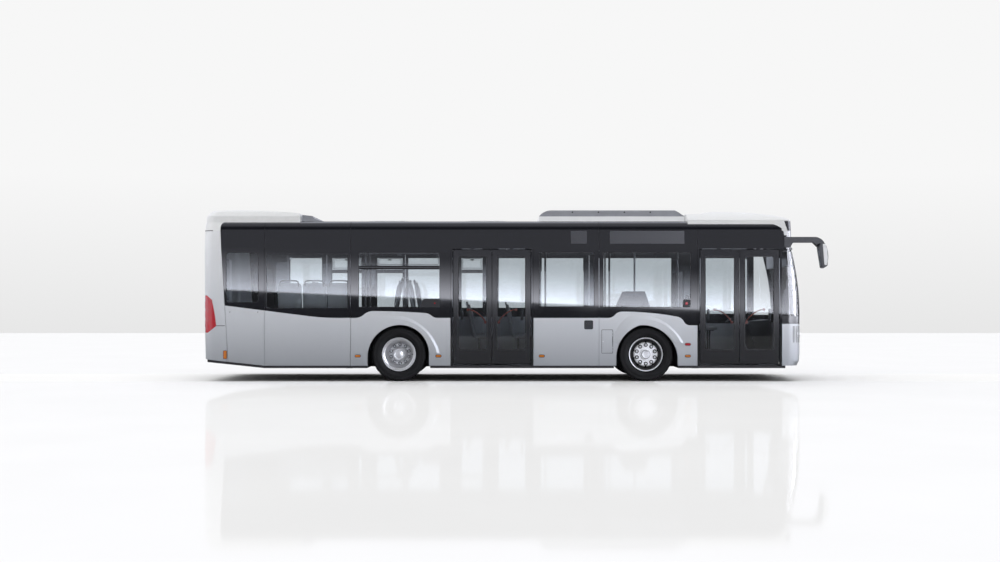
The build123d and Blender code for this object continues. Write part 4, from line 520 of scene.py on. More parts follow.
class Kit:
    """Collects the forms of one piece."""

    def __init__(self):
        self.bm = bmesh.new()
        self.material = 0

    def face(self, verts):
        """One face with the current finish."""
        made = self.bm.faces.new(verts)
        made.material_index = self.material
        return made

    def rings(self, rings, closed_rings=True, loop=False, caps=True):
        """A skin over rows of points, each row a closed ring or an open line."""
        rows = [[self.bm.verts.new(p) for p in ring] for ring in rings]
        pairs = list(zip(rows, rows[1:])) + ([(rows[-1], rows[0])] if loop else [])
        for a, b in pairs:
            count = len(a)
            for i in range(count if closed_rings else count - 1):
                j = (i + 1) % count
                self.face((a[i], a[j], b[j], b[i]))
        if caps and not loop and closed_rings:
            self.face(rows[0][::-1])
            self.face(rows[-1])
        return rows

    def box(self, low, high, soft=0.0):
        """A box with softened edges."""
        low, high = Vector(map(min, low, high)), Vector(map(max, low, high))
        made = bmesh.ops.create_cube(self.bm, size=1.0)["verts"]
        size = high - low
        for v in made:
            v.co = Vector(c * s for c, s in zip(v.co, size)) + (low + high) / 2
        faces = {f for v in made for f in v.link_faces}
        for f in faces:
            f.material_index = self.material
        if soft:
            edges = list({e for v in made for e in v.link_edges})
            bmesh.ops.bevel(self.bm, geom=edges, offset=soft, segments=2, profile=0.7, affect="EDGES",
                            material=self.material)

    def lathe(self, profile, centre, side=1.0, steps=48, notch=None):
        """A form turned about the Y axis from (radius, outward) points; notch lowers some points."""
        rings = []
        for i, turn in enumerate(turns(steps)):
            ring = []
            for k, (radius, out) in enumerate(profile):
                r = radius - (notch(k, i) if notch else 0.0)
                ring.append((centre[0] + r * math.sin(turn), centre[1] + side * out,
                             centre[2] + r * math.cos(turn)))
            rings.append(ring)
        self.rings(rings, closed_rings=False, loop=True)

    def tube(self, points, radius, sides=10, loop=False):
        """A round bar along points."""
        points = [Vector(p) for p in points]
        count = len(points)
        rings, normal = [], None
        for i, point in enumerate(points):
            before = points[i - 1] if i or loop else point
            after = points[(i + 1) % count] if i < count - 1 or loop else point
            along = (after - before).normalized()
            if normal is None:
                normal = along.orthogonal().normalized()
            normal = (normal - along * normal.dot(along)).normalized()
            across = along.cross(normal)
            rings.append([point + radius * (math.cos(a) * normal + math.sin(a) * across) for a in turns(sides)])
        self.rings(rings, loop=loop)

    def band(self, loop, width, y_out, y_in):
        """A flat band of that width inside a closed side-view loop of (x, z), between two depths."""
        inner = inset(loop, width)
        rings = []
        for (xo, zo), (xi, zi) in zip(loop, inner):
            rings.append([(xo, y_out, zo), (xi, y_out, zi), (xi, y_in, zi), (xo, y_in, zo)])
        self.rings(rings, loop=True)

    def plate(self, loop, y_out, y_in):
        """A plate with a closed side-view outline of (x, z)."""
        self.rings([[(x, y_out, z) for x, z in loop], [(x, y_in, z) for x, z in loop]])

    def done(self, name, materials, body=ROOT, slot=None, angle=32.0):
        """Turns the collected forms into a piece that rides on a body."""
        bmesh.ops.recalc_face_normals(self.bm, faces=self.bm.faces)
        mesh = bpy.data.meshes.new(name)
        self.bm.to_mesh(mesh)
        self.bm.free()
        for key in ([materials] if isinstance(materials, str) else materials):
            mesh.materials.append(MATERIALS[key])
        for polygon in mesh.polygons:
            polygon.use_smooth = True
        mesh.set_sharp_from_angle(angle=math.radians(angle))
        piece = bpy.data.objects.new(name, mesh)
        bpy.context.scene.collection.objects.link(piece)
        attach(piece, body)
        return piece


def inset(loop, width):
    """A closed loop of points moved inwards by width."""
    count = len(loop)
    area = sum(a[0] * b[1] - b[0] * a[1] for a, b in zip(loop, loop[1:] + loop[:1]))
    way = 1.0 if area > 0 else -1.0
    made = []
    for i in range(count):
        ax, az = loop[i - 1]
        bx, bz = loop[(i + 1) % count]
        dx, dz = bx - ax, bz - az
        length = math.hypot(dx, dz) or 1.0
        made.append((loop[i][0] - way * dz / length * width, loop[i][1] + way * dx / length * width))
    return made


def rounded(x0, x1, z0, z1, radius, steps=5):
    """A side-view rectangle with round corners, as points."""
    radius = min(radius, (x1 - x0) / 2 - 1e-4, (z1 - z0) / 2 - 1e-4)
    points = []
    for cx, cz, start in ((x1 - radius, z1 - radius, 0), (x0 + radius, z1 - radius, 90),
                          (x0 + radius, z0 + radius, 180), (x1 - radius, z0 + radius, 270)):
        for i in range(steps + 1):
            a = math.radians(start + 90.0 * i / steps)
            points.append((cx + radius * math.cos(a), cz + radius * math.sin(a)))
    return points


def soft_line(points, steps=6):
    """A smooth line through points."""
    points = [Vector(p) for p in points]
    padded = [2 * points[0] - points[1]] + points + [2 * points[-1] - points[-2]]
    made = []
    for i in range(1, len(padded) - 2):
        a, b, c, d = padded[i - 1:i + 3]
        for k in range(steps):
            t = k / steps
            made.append(0.5 * (2 * b + (c - a) * t + (2 * a - 5 * b + 4 * c - d) * t * t
                               + (3 * b - a - 3 * c + d) * t ** 3))
    return made + [points[-1]]


def islands(node):
    """The loose solids of a CAD node as lists of points, ordered along X."""
    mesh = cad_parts[node].data
    keys = [tuple(round(c, 5) for c in v.co) for v in mesh.vertices]
    parent = {k: k for k in keys}

    def root(k):
        while parent[k] != k:
            parent[k] = parent[parent[k]]
            k = parent[k]
        return k

    for polygon in mesh.polygons:
        first = root(keys[polygon.vertices[0]])
        for index in polygon.vertices[1:]:
            parent[root(keys[index])] = first
    groups = {}
    for k in parent:
        groups.setdefault(root(k), []).append(Vector(k))
    return sorted(groups.values(), key=lambda pts: sum(p.x for p in pts) / len(pts))


def extent(points):
    """Lowest and highest corner of points."""
    return Vector(map(min, *points)), Vector(map(max, *points))


def boxes(node):
    """Lowest and highest corners of a CAD node's loose solids, ordered along X."""
    return [extent(points) for points in islands(node)]


# Pieces


class BUS_OT_finishes(bpy.types.Operator):
    """Gives every CAD node its finish"""

    bl_idname = "bus.finishes"
    bl_label = "Finishes"

    def execute(self, context):
        make_materials(context.scene.bus_paint)
        for name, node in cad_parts.items():
            node.data.materials.clear()
            node.data.materials.append(MATERIALS[cad_finish(name)])
        return {"FINISHED"}


class BUS_OT_tyres(bpy.types.Operator):
    """Makes the tyres with grooves, shoulder notches and ribbed sidewalls"""

    bl_idname = "bus.tyres"
    bl_label = "Tyres"

    def profile(self, low, high, bead, settings):
        """Section of a tyre as (radius, outward) points, and the numbers of its shoulder points."""
        radius, half = (high.z - low.z) / 2, (high.y - low.y) / 2
        deep, wide = settings.groove_depth, settings.groove_width
        wall = [(bead, half * 0.74), (bead + 0.006, half * 0.78), (bead + 0.016, half * 0.80),
                (bead + 0.020, half * 0.84), (bead + 0.045, half * 0.93), (bead + 0.050, half * 0.945),
                (bead + 0.085, half * 0.992), (bead + 0.090, half), (bead + 0.108, half),
                (bead + 0.113, half * 0.99), (radius - 0.046, half * 0.975), (radius - 0.042, half * 0.985),
                (radius - 0.020, half * 0.955), (radius - 0.008, half * 0.90)]
        tread = [(radius - 0.001, half * 0.82)]
        for centre in (0.50, 0.17, -0.17, -0.50):
            y = half * centre
            tread += [(radius, y + wide / 2 + 0.002), (radius - deep, y + wide / 2 - 0.001),
                      (radius - deep, y - wide / 2 + 0.001), (radius, y - wide / 2 - 0.002)]
        tread.append((radius - 0.001, -half * 0.82))
        inner = [(bead, -half * 0.70), (bead + 0.004, 0.0), (bead, half * 0.70)]
        mirrored = [(r, -out) for r, out in reversed(wall)]
        far = len(wall) + len(tread)
        shoulder = {12, 13, 14, far - 1, far, far + 1}
        return wall + tread + mirrored + inner, shoulder

    def execute(self, context):
        settings = context.scene.bus_tyre
        for node in [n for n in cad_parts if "tyre" in n]:
            body = node.replace("tyres", "wheel").replace("tyre", "wheel")
            wheel_low, wheel_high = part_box(body)
            bead = (wheel_high.z - wheel_low.z) / 2 - 0.013
            side = -1.0 if node.endswith("right") else 1.0
            kit = Kit()
            for low, high in boxes(node):
                profile, shoulder = self.profile(low, high, bead, settings)
                kit.lathe(profile + profile[:1], (low + high) / 2, side, settings.steps,
                          lambda k, i: settings.notch if k in shoulder and i % 4 == 0 else 0.0)
            piece = kit.done(node + "_tread", "tyre", body, "tyre", 28.0)
            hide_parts(node)
        return {"FINISHED"}


class BUS_OT_wheels(bpy.types.Operator):
    """Adds nut caps, hub rings, drums, valves and rim lips to the wheels"""

    bl_idname = "bus.wheels"
    bl_label = "Wheels"

    def execute(self, context):
        for place in PLACES:
            for name, side in SIDES:
                self.dress(place, name, side)
        return {"FINISHED"}

    def dress(self, place, name, side):
        """The small parts of one wheel."""
        node = f"{place}_wheel_{name}"
        low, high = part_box(node)
        centre = (low + high) / 2
        radius = (high.z - low.z) / 2
        outer = max(low.y * side, high.y * side)
        kit = Kit()
        front = place == "front"
        face = outer - (0.0365 if front else 0.0)
        lip = centre.y * side + (0.105 if front else 0.26)
        at = (centre.x, 0.0, centre.z)
        kit.lathe([(radius - 0.014, lip - 0.014), (radius - 0.004, lip - 0.004), (radius + 0.002, lip + 0.001),
                   (radius - 0.001, lip + 0.006), (radius - 0.010, lip + 0.005), (radius - 0.018, lip - 0.004),
                   (radius - 0.014, lip - 0.014)], at, side, 72)
        # dark discs round the nuts: painted shade standing for the shade round each nut
        nut_shade_discs = Kit()
        nut_face = face if front else centre.y * side + 0.022
        ring = 0.0 if front else 0.006
        for a in turns(NUTS):
            spot = (centre.x + NUT_RING * math.sin(a), 0.0, centre.z + NUT_RING * math.cos(a))
            kit.lathe([(0.0, nut_face + 0.036), (0.010, nut_face + 0.036), (0.015, nut_face + 0.030),
                       (0.016, nut_face + 0.012), (0.020, nut_face + 0.006), (0.020, nut_face - 0.001)],
                      spot, side, 14)
            nut_shade_discs.lathe([(0.018, nut_face + 0.0035), (0.034 - ring, nut_face + 0.0025),
                           (0.036 - ring, nut_face - 0.001)], spot, side, 20)
        hub = 0.096 if front else 0.135
        top = face + (0.0365 if front else -0.012)
        kit.lathe([(0.0, top + 0.004), (hub * 0.42, top + 0.004), (hub * 0.5, top - 0.001), (hub * 0.62, top + 0.002),
                   (hub * 0.72, top + 0.001), (hub * 0.76, top - 0.012)], at, side, 40)
        for a in turns(8, 0.5):
            spot = (centre.x + hub * 0.66 * math.sin(a), 0.0, centre.z + hub * 0.66 * math.cos(a))
            kit.lathe([(0.0, top + 0.011), (0.007, top + 0.011), (0.008, top + 0.004), (0.008, top - 0.002)],
                      spot, side, 8)
        kit.done(f"{node}_bright", "trim_bright", node, "wheel_silver", 30.0)
        nut_shade_discs.done(f"{node}_washers", "chassis_dark", node, "wheel_silver", 30.0)
        kit = Kit()
        drum = centre.y * side + (-0.030 if front else 0.0)
        kit.lathe([(0.20, drum), (0.225, drum - 0.01), (0.225, drum - 0.05), (0.20, drum - 0.06), (0.20, drum)],
                  at, side, 48)
        valve = radius - 0.055
        stem = [(centre.x + valve, side * (lip - 0.060), centre.z),
                (centre.x + valve - 0.008, side * (lip - 0.020), centre.z),
                (centre.x + valve - 0.016, side * (lip + 0.004), centre.z)]
        kit.tube(soft_line(stem, 4), 0.006, 8)
        kit.done(f"{node}_shade", "wheel_shade", node, "wheel_silver", 30.0)


class BUS_OT_seats(bpy.types.Operator):
    """Makes seat shells with padded cushions, backs and grips"""

    bl_idname = "bus.seats"
    bl_label = "Seats"

    def pad(self, name, width, length, thick, matrix):
        """One stuffed pad, domed on top and soft at its edges."""
        kit = Kit()
        rows, columns = 12, 10
        grid = {}
        for layer, way in ((0, 1.0), (1, -0.25)):
            for i in range(rows + 1):
                for j in range(columns + 1):
                    u, v = 2.0 * i / rows - 1.0, 2.0 * j / columns - 1.0
                    rim = max(abs(u), abs(v))
                    if layer and rim > 0.999:
                        grid[layer, i, j] = grid[0, i, j]
                        continue
                    corner = 1.0 - 0.06 * (u * v) ** 2
                    dome = (1.0 - abs(u) ** 5) * (1.0 - abs(v) ** 5)
                    rib = 0.05 * math.cos(v * math.pi * 3.0) * dome
                    point = Vector((u * length / 2 * corner, v * width / 2 * corner,
                                    way * thick * (0.85 * dome + rib)))
                    grid[layer, i, j] = kit.bm.verts.new(matrix @ point)
            for i in range(rows):
                for j in range(columns):
                    corners = ((i, j), (i + 1, j), (i + 1, j + 1), (i, j + 1))
                    ring = [grid[layer, row, column] for row, column in corners]
                    kit.face(ring if layer == 0 else ring[::-1])
        piece = kit.done(name, "seat_fabric", ROOT, "seat_fabric", 60.0)

    def shell(self, kit, place):
        """A moulded shell: one bent sheet with rounded shoulders and a rolled edge."""
        line = [(0.435, 0.052), (0.40, 0.050), (0.20, 0.040), (0.075, 0.045), (0.02, 0.085), (-0.02, 0.22),
                (-0.055, 0.42), (-0.085, 0.60), (-0.092, 0.660)]
        line = [(p.x, p.y) for p in (v.to_2d() for v in soft_line([(x, z, 0.0) for x, z in line], 4))]
        thick, count = 0.022, 11
        rows = []
        for index, (x, z) in enumerate(line):
            share = index / (len(line) - 1)
            half = 0.215
            if share >= 0.85:
                half = 0.215 * math.sqrt(max(0.25, 1.0 - ((share - 0.85) / 0.15) ** 2 * 0.45))
            front, back = [], []
            for k in range(count):
                v = 2.0 * k / (count - 1) - 1.0
                wing = 0.035 * v ** 4
                front.append(place @ Vector((x + wing * (share > 0.35), v * half, z + wing * (share <= 0.35))))
                back.append(place @ Vector((x + wing * (share > 0.35) - thick * (share > 0.3), v * half * 0.985,
                                            z + wing * (share <= 0.35) - thick * (share <= 0.55))))
            rows.append(front + back[::-1])
        kit.rings(rows)

    def execute(self, context):
        shells, frames = Kit(), Kit()
        for number, points in enumerate(islands("seats"), 1):
            low, high = extent(points)
            top = [p for p in points if p.z > high.z - 0.03]
            back = sum(top, Vector()) / len(top)
            middle = (low + high) / 2
            ahead = Vector((middle.x - back.x, middle.y - back.y, 0.0))
            if abs(ahead.x) > abs(ahead.y):
                ahead = Vector((math.copysign(1.0, ahead.x), 0, 0))
            else:
                ahead = Vector((0, math.copysign(1.0, ahead.y), 0))
            turn = math.atan2(ahead.y, ahead.x)
            seat_z = high.z - 0.64
            origin = Vector((back.x, back.y, seat_z)) + ahead * 0.0875
            place = Matrix.Translation(origin) @ Matrix.Rotation(turn, 4, "Z")
            self.shell(shells, place)
            self.pad(f"seat_pad_{number:02d}", 0.375, 0.36, 0.040,
                     place @ Matrix.Translation((0.235, 0.0, 0.070)) @ Matrix.Rotation(math.radians(-1.5), 4, "Y"))
            self.pad(f"seat_back_{number:02d}", 0.36, 0.46, 0.032,
                     place @ Matrix.Translation((-0.012, 0.0, 0.385)) @ Matrix.Rotation(math.radians(81.0), 4, "Y"))
            bar = [(-0.075, -0.16, 0.58), (-0.105, -0.16, 0.665), (-0.11, -0.11, 0.70), (-0.11, 0.11, 0.70),
                   (-0.105, 0.16, 0.665), (-0.075, 0.16, 0.58)]
            frames.material = 0
            frames.tube([place @ p for p in soft_line(bar, 4)], 0.013, 10)
            frames.material = 1
            drop = low.z - seat_z
            for x in (0.12, 0.30):
                legs = ((x, -0.12, 0.045), (x, -0.12, drop), (x, 0.12, drop), (x, 0.12, 0.045))
                frames.tube([place @ Vector(p) for p in legs], 0.017, 8)
            for y in (-0.12, 0.12):
                frames.tube([place @ Vector((0.06, y, 0.030)), place @ Vector((0.38, y, 0.030))], 0.014, 8)
        piece = shells.done("seat_shells", "seat_shell", ROOT, "seat_fabric", 50.0)
        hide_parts("seats")
        frames.done("seat_frames", ["pole_grey", "chassis_black"], ROOT, "grab_yellow", 40.0)
        return {"FINISHED"}


class BUS_OT_doors(bpy.types.Operator):
    """Adds seals, glazing rubbers, curved grab rails and grips to the door leaves"""

    bl_idname = "bus.doors"
    bl_label = "Doors"

    def execute(self, context):
        seal = context.scene.bus_trim.seal
        for number in (1, 2):
            for place in PLACES:
                self.leaf(number, place, seal)
        return {"FINISHED"}

    def leaf(self, number, place, seal):
        """What one leaf carries."""
        body = f"door_{number}_leaf_{place}"
        low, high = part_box(body)
        glass_low, glass_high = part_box(f"door_{number}_glass_{place}")
        inward = 1.0 if place == "rear" else -1.0
        face = low.y
        kit = Kit()
        loop = rounded(glass_low.x - 0.004, glass_high.x + 0.004, glass_low.z - 0.004, glass_high.z + 0.004,
                       0.044, 6)
        kit.band(loop, seal, face - 0.0015, face + 0.010)
        slab_top = glass_high.z + 0.085
        for x, way in ((low.x, 1.0), (high.x, -1.0)):
            for k in range(3):
                kit.tube([(x + way * 0.006, face + 0.006 + 0.013 * k, low.z + 0.004),
                          (x + way * 0.006, face + 0.006 + 0.013 * k, slab_top - 0.004)], 0.0058, 8)
        foot = [(low.x + 0.006, face + 0.012, low.z + 0.002), (high.x - 0.006, face + 0.012, low.z + 0.002)]
        kit.tube(foot, 0.008, 8)
        kit.done(f"{body}_seals", "rubber", body, "black_plastic", 40.0)
        kit, grip = Kit(), Kit()
        inner = face + 0.042 + 0.045
        edge = low.x if inward > 0 else high.x
        start, end = edge + inward * 0.257, edge + inward * 0.568
        span = end - start
        z_top, z_low = 1.275, 1.060
        arc = [(start + span * t, inner, z_low + (z_top - z_low) * math.cos(t * math.pi / 2) ** 0.8)
               for t in (0.0, 0.2, 0.45, 0.7, 0.9, 1.0)]
        path = [(start, inner - 0.045, z_top)] + arc + [(end, inner - 0.045, z_low - 0.01)]
        kit.tube(soft_line(path, 6), 0.012, 10)
        for x, z in ((start, z_top), (end, z_low - 0.01)):
            kit.lathe([(0.0, 0.0), (0.026, 0.0), (0.026, 0.004), (0.016, 0.008), (0.0, 0.008)],
                      (x, inner - 0.047, z), 1.0, 16)
        kit.done(f"{body}_rail", "grab_yellow", body, "grab_yellow", 40.0)
        x = edge + inward * 0.150
        grip.box((x - 0.024, inner - 0.045, 1.085), (x + 0.024, inner - 0.012, 1.290), 0.010)
        grip.box((x - 0.014, inner - 0.014, 1.115), (x + 0.014, inner + 0.002, 1.260), 0.006)
        grip.done(f"{body}_grip", "black_plastic", body, "black_plastic", 40.0)


class BUS_OT_windows(bpy.types.Operator):
    """Adds rubber seals to the panes, tilting vent frames and roof gutters"""

    bl_idname = "bus.windows"
    bl_label = "Windows"

    def execute(self, context):
        seal = context.scene.bus_trim.seal
        for name, side in SIDES:
            self.panes(name, side, seal)
        self.gutters()
        self.rear(seal)
        return {"FINISHED"}

    def panes(self, name, side, seal):
        """Seals and vents of one side."""
        kit, vents = Kit(), Kit()
        found = boxes(f"side_glass_{name}")
        for index, (low, high) in enumerate(found):
            out = max(low.y * side, high.y * side)
            radius = 0.060 if index == 0 or (side > 0 and index == len(found) - 1) else 0.014
            loop = rounded(low.x, high.x, low.z, high.z, radius, 6)
            kit.band(loop, seal * 0.6, side * (out + 0.0022), side * (out - 0.012))
            tilting = index == 2 or (side > 0 and index in (1, 4))
            if tilting:
                bar = high.z - 0.235
                vents.material = 1
                vents.box((low.x + 0.008, side * (out + 0.004), bar - 0.068),
                          (high.x - 0.008, side * (out - 0.016), bar), 0.003)
                vents.material = 0
                frame_loop = rounded(low.x + 0.016, high.x - 0.016, bar + 0.012, high.z - 0.012, 0.03, 5)
                vents.band(frame_loop, 0.010, side * (out + 0.0045), side * (out - 0.014))
                vents.band(inset(frame_loop, 0.030), 0.004, side * (out + 0.0025), side * (out - 0.014))
                middle = (low.x + high.x) / 2
                vents.box((middle - 0.035, side * (out - 0.016), high.z - 0.055),
                          (middle + 0.035, side * (out - 0.040), high.z - 0.030), 0.004)
        kit.done(f"pane_seals_{name}", "rubber", ROOT, "black_plastic", 40.0)
        vents.done(f"vent_frames_{name}", ["trim_grey", "band_gloss"], ROOT, "band_gloss", 40.0)

    def gutters(self):
        """Black rubber gutters along both roof edges, and the joints between the cove panels."""
        roof_low, roof_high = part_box("roof_skin")
        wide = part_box("cove_panels_left")[1].y
        kit = Kit()
        for _, side in SIDES:
            y = roof_low.y * -side
            z = roof_low.z + 0.058
            for offset, lift, radius in ((0.0, 0.0, 0.006), (0.012, -0.001, 0.004)):
                ends = (roof_low.x + 0.30, roof_high.x - 0.02)
                kit.tube([(x, y + side * offset, z + lift) for x in ends], radius, 8)
        for name, side in SIDES:
            found = boxes(f"cove_panels_{name}")
            for (_, before), (after, top) in zip(found, found[1:]):
                rows = []
                for x in (before.x - 0.004, after.x + 0.004):
                    outer = [(x, side * (wide - inward - 0.004), top.z - down - 0.003)
                             for inward, down in COVE_SECTION]
                    inner = [(x, side * (abs(y) - 0.010), z - 0.010) for x, y, z in outer]
                    rows.append(outer + inner[::-1])
                kit.rings(rows)
        kit.done("roof_gutters", "rubber", ROOT, "black_plastic", 40.0)

    def rear(self, seal):
        """The rear window's rubber, laid on its bowed outline."""
        points = islands("rear_window")[0]
        low, high = extent(points)
        kit = Kit()
        reach = {}
        for p in points:
            key = round(abs(p.y), 2)
            reach[key] = min(reach.get(key, 9.0), p.x)
        keys = sorted(reach)

        def depth(y):
            y = abs(y)
            for a, b in zip(keys, keys[1:]):
                if a <= y <= b:
                    return reach[a] + (reach[b] - reach[a]) * (y - a) / max(b - a, 1e-6)
            return reach[keys[-1]]

        path = rounded(low.y, high.y, low.z, high.z, 0.07, 6)
        dense = []
        for (y0, z0), (y1, z1) in zip(path, path[1:] + path[:1]):
            steps = max(1, int(math.hypot(y1 - y0, z1 - z0) / 0.12))
            for k in range(steps):
                y, z = y0 + (y1 - y0) * k / steps, z0 + (z1 - z0) * k / steps
                dense.append((depth(y) - 0.001, y, z))
        kit.tube(dense, seal * 0.6, 8, loop=True)
        kit.done("rear_window_seal", "rubber", ROOT, "black_plastic", 40.0)


class BUS_OT_lamps(bpy.types.Operator):
    """Adds lamp bezels, bulbs' bowls and the red and upright side markers"""

    bl_idname = "bus.lamps"
    bl_label = "Lamps"

    def execute(self, context):
        bezels, red, amber = Kit(), Kit(), Kit()
        low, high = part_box("marker_lamps")
        for a, b in boxes("marker_lamps"):
            middle = (a + b) / 2
            side = math.copysign(1.0, middle.y)
            skin = min(abs(a.y), abs(b.y))
            loop = rounded(a.x - 0.010, b.x + 0.010, a.z - 0.009, b.z + 0.009, 0.026, 6)
            bezels.band(loop, 0.0105, side * (skin + 0.007), side * (skin - 0.002))
            if middle.z > (low.z + high.z) / 2:
                for inner, proud in ((-0.001, 0.010), (0.006, 0.013)):
                    outline = rounded(a.x + inner, b.x - inner, a.z + inner, b.z - inner, 0.017, 6)
                    red.plate(outline, side * (skin + proud), side * (skin + 0.001))
        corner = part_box("rear_panel")[1]
        for _, side in SIDES:
            x, y = corner.x - 0.05, side * (corner.y - 0.002)
            loop = rounded(x - 0.028, x + 0.028, 0.405, 0.545, 0.012, 4)
            amber.plate(loop, y + side * 0.008, y - side * 0.01)
            amber.plate(inset(loop, 0.008), y + side * 0.012, y - side * 0.01)
            bezels.band(rounded(x - 0.034, x + 0.034, 0.399, 0.551, 0.016, 4), 0.007, y + side * 0.006,
                        y - side * 0.01)
        bezels.done("marker_bezels", "black_plastic", ROOT, "black_plastic")
        red.done("marker_red", "red_lens", ROOT, "red_lens")
        amber.done("marker_upright", "amber_lens", ROOT, "amber_lens")
        self.tail()
        self.head()
        return {"FINISHED"}

    def tail(self):
        """Round cells on the tail lamps, laid on the lens."""
        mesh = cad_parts["tail_lamps"].data
        lens = BVHTree.FromPolygons([v.co for v in mesh.vertices], [list(p.vertices) for p in mesh.polygons])
        cells = Kit()
        for low, high in boxes("tail_lamps"):
            side = math.copysign(1.0, low.y + high.y)
            y = side * (max(abs(low.y), abs(high.y)) - 0.115)
            for share in (0.24, 0.49, 0.74):
                z = low.z + (high.z - low.z) * share
                rows = []
                for radius, out in ((0.004, 0.003), (0.030, 0.0025), (0.046, 0.001), (0.050, 0.004), (0.056, 0.004),
                                    (0.058, -0.003)):
                    row = []
                    for a in turns(28):
                        spot = Vector((low.x - 1.0, y + radius * math.cos(a), z + radius * math.sin(a)))
                        hit = lens.ray_cast(spot, Vector((1.0, 0.0, 0.0)))[0]
                        row.append(hit and hit - Vector((out, 0.0, 0.0)))
                    rows.append(row)
                if all(all(row) for row in rows):
                    cells.rings(rows)
        cells.done("tail_cells", "red_lens", ROOT, "red_lens")

    def head(self):
        """Projector bowls behind bright rings on the headlamps."""
        rims, bowls = Kit(), Kit()
        for points in islands("headlamps"):
            low, high = extent(points)
            side = math.copysign(1.0, (low.y + high.y) / 2)
            z = (low.z + high.z) / 2
            for y_share, radius in ((0.20, 0.075), (0.52, 0.075), (0.78, 0.045)):
                y = side * (min(abs(low.y), abs(high.y)) + (high.y - low.y) * y_share)
                near = [p.x for p in points if abs(p.y - y) < 0.09]
                far = max(near) if near else high.x
                slope = 0.35 * max(0.0, y_share - 0.25)
                rim = [(radius - 0.006, 0.0), (radius - 0.002, 0.010), (radius + 0.008, 0.010),
                       (radius + 0.010, -0.004)]
                bowl = [(0.0, 0.004), (radius * 0.6, 0.003), (radius - 0.006, 0.0)]
                for kit, profile in ((rims, rim), (bowls, bowl)):
                    rows = []
                    for r, out in profile:
                        rows.append([(far - slope * 0.30 + out - slope * (r * math.cos(a)) * side,
                                      y + r * math.cos(a), z + r * math.sin(a)) for a in turns(28)])
                    kit.rings(rows, caps=False)
        rims.done("head_rims", "trim_bright", ROOT, "clear_lens")
        bowls.done("head_bowls", "mirror_face", ROOT, "clear_lens")


class BUS_OT_fittings(bpy.types.Operator):
    """Adds the door buttons, the flap handle, the filler lock and the corner screws"""

    bl_idname = "bus.fittings"
    bl_label = "Side fittings"

    def execute(self, context):
        skin = -min(abs(p.y) for p in islands("window_band_right")[0] if abs(p.y) > 1.22)
        door_1, door_2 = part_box("door_1_leaf_rear"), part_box("door_2_leaf_rear")
        dark, red, bright = Kit(), Kit(), Kit()
        self.button(dark, red, door_1[0].x - 0.245, 1.385, 0.062, 0.070, skin)
        pane = boxes("side_glass_right")[2]
        x0, x1, z0, z1 = pane[1].x - 0.320, pane[1].x, pane[0].z, pane[0].z + 0.152
        panel = [(x0 - 0.030, z0), (x1, z0), (x1, z1)]
        panel += [(x0 + 0.060 - 0.060 * math.sin(a), z1 - 0.060 + 0.060 * math.cos(a))
                  for a in (math.pi * k / 12 for k in range(7))]
        dark.plate(panel, skin - 0.001, skin + 0.002)
        self.button(dark, red, door_2[0].x - 0.33, 1.39, 0.030, 0.030, skin)
        filler_low, filler_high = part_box("filler_flap")
        hx, hz = filler_low.x - 0.235, 1.005
        dark.plate(rounded(hx - 0.080, hx + 0.080, hz - 0.080, hz + 0.080, 0.024, 6), skin - 0.004, skin + 0.002)
        dark.plate(rounded(hx - 0.066, hx + 0.066, hz - 0.066, hz + 0.050, 0.018, 6), skin - 0.012, skin + 0.002)
        dark.box((hx - 0.045, skin - 0.020, hz + 0.010), (hx + 0.045, skin - 0.008, hz + 0.034), 0.005)
        grown = rounded(filler_low.x - 0.006, filler_high.x + 0.006, filler_low.z - 0.006, filler_high.z + 0.006,
                        0.012, 4)
        dark.band(grown, 0.007, skin - 0.0012, skin + 0.002)
        lock = (filler_low.x + 0.022, 0.0, (filler_low.z + filler_high.z) / 2)
        face = abs(filler_low.y) - 0.006
        bright.lathe([(0.0, face + 0.008), (0.010, face + 0.008), (0.013, face + 0.005), (0.013, face - 0.001)],
                     lock, -1.0, 18)
        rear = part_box("rear_panel")[1].x
        for x in (rear + 0.035, rear + 0.53):
            dark.lathe([(0.0, -skin + 0.004), (0.006, -skin + 0.004), (0.008, -skin + 0.002),
                        (0.008, -skin - 0.001)], (x, 0.0, 1.232), -1.0, 12)
        dark.done("side_handles", "black_plastic", ROOT, "black_plastic")
        red.done("door_buttons", "red_lens", ROOT, "red_lens")
        bright.done("side_screws", "trim_bright", ROOT, "wheel_silver")
        return {"FINISHED"}

    def button(self, dark, red, x, z, half_x, half_z, skin):
        """One door opener: a dark housing with a red push."""
        dark.plate(rounded(x - half_x, x + half_x, z - half_z, z + half_z, half_x * 0.45, 6), skin - 0.010,
                   skin + 0.002)
        dark.band(rounded(x - half_x * 0.8, x + half_x * 0.8, z - half_z * 0.8, z + half_z * 0.8, half_x * 0.4, 6),
                  half_x * 0.18, skin - 0.016, skin)
        red.lathe([(0.0, -skin + 0.017), (half_x * 0.34, -skin + 0.017), (half_x * 0.42, -skin + 0.013),
                   (half_x * 0.42, -skin + 0.008)], (x, 0.0, z), -1.0, 20)


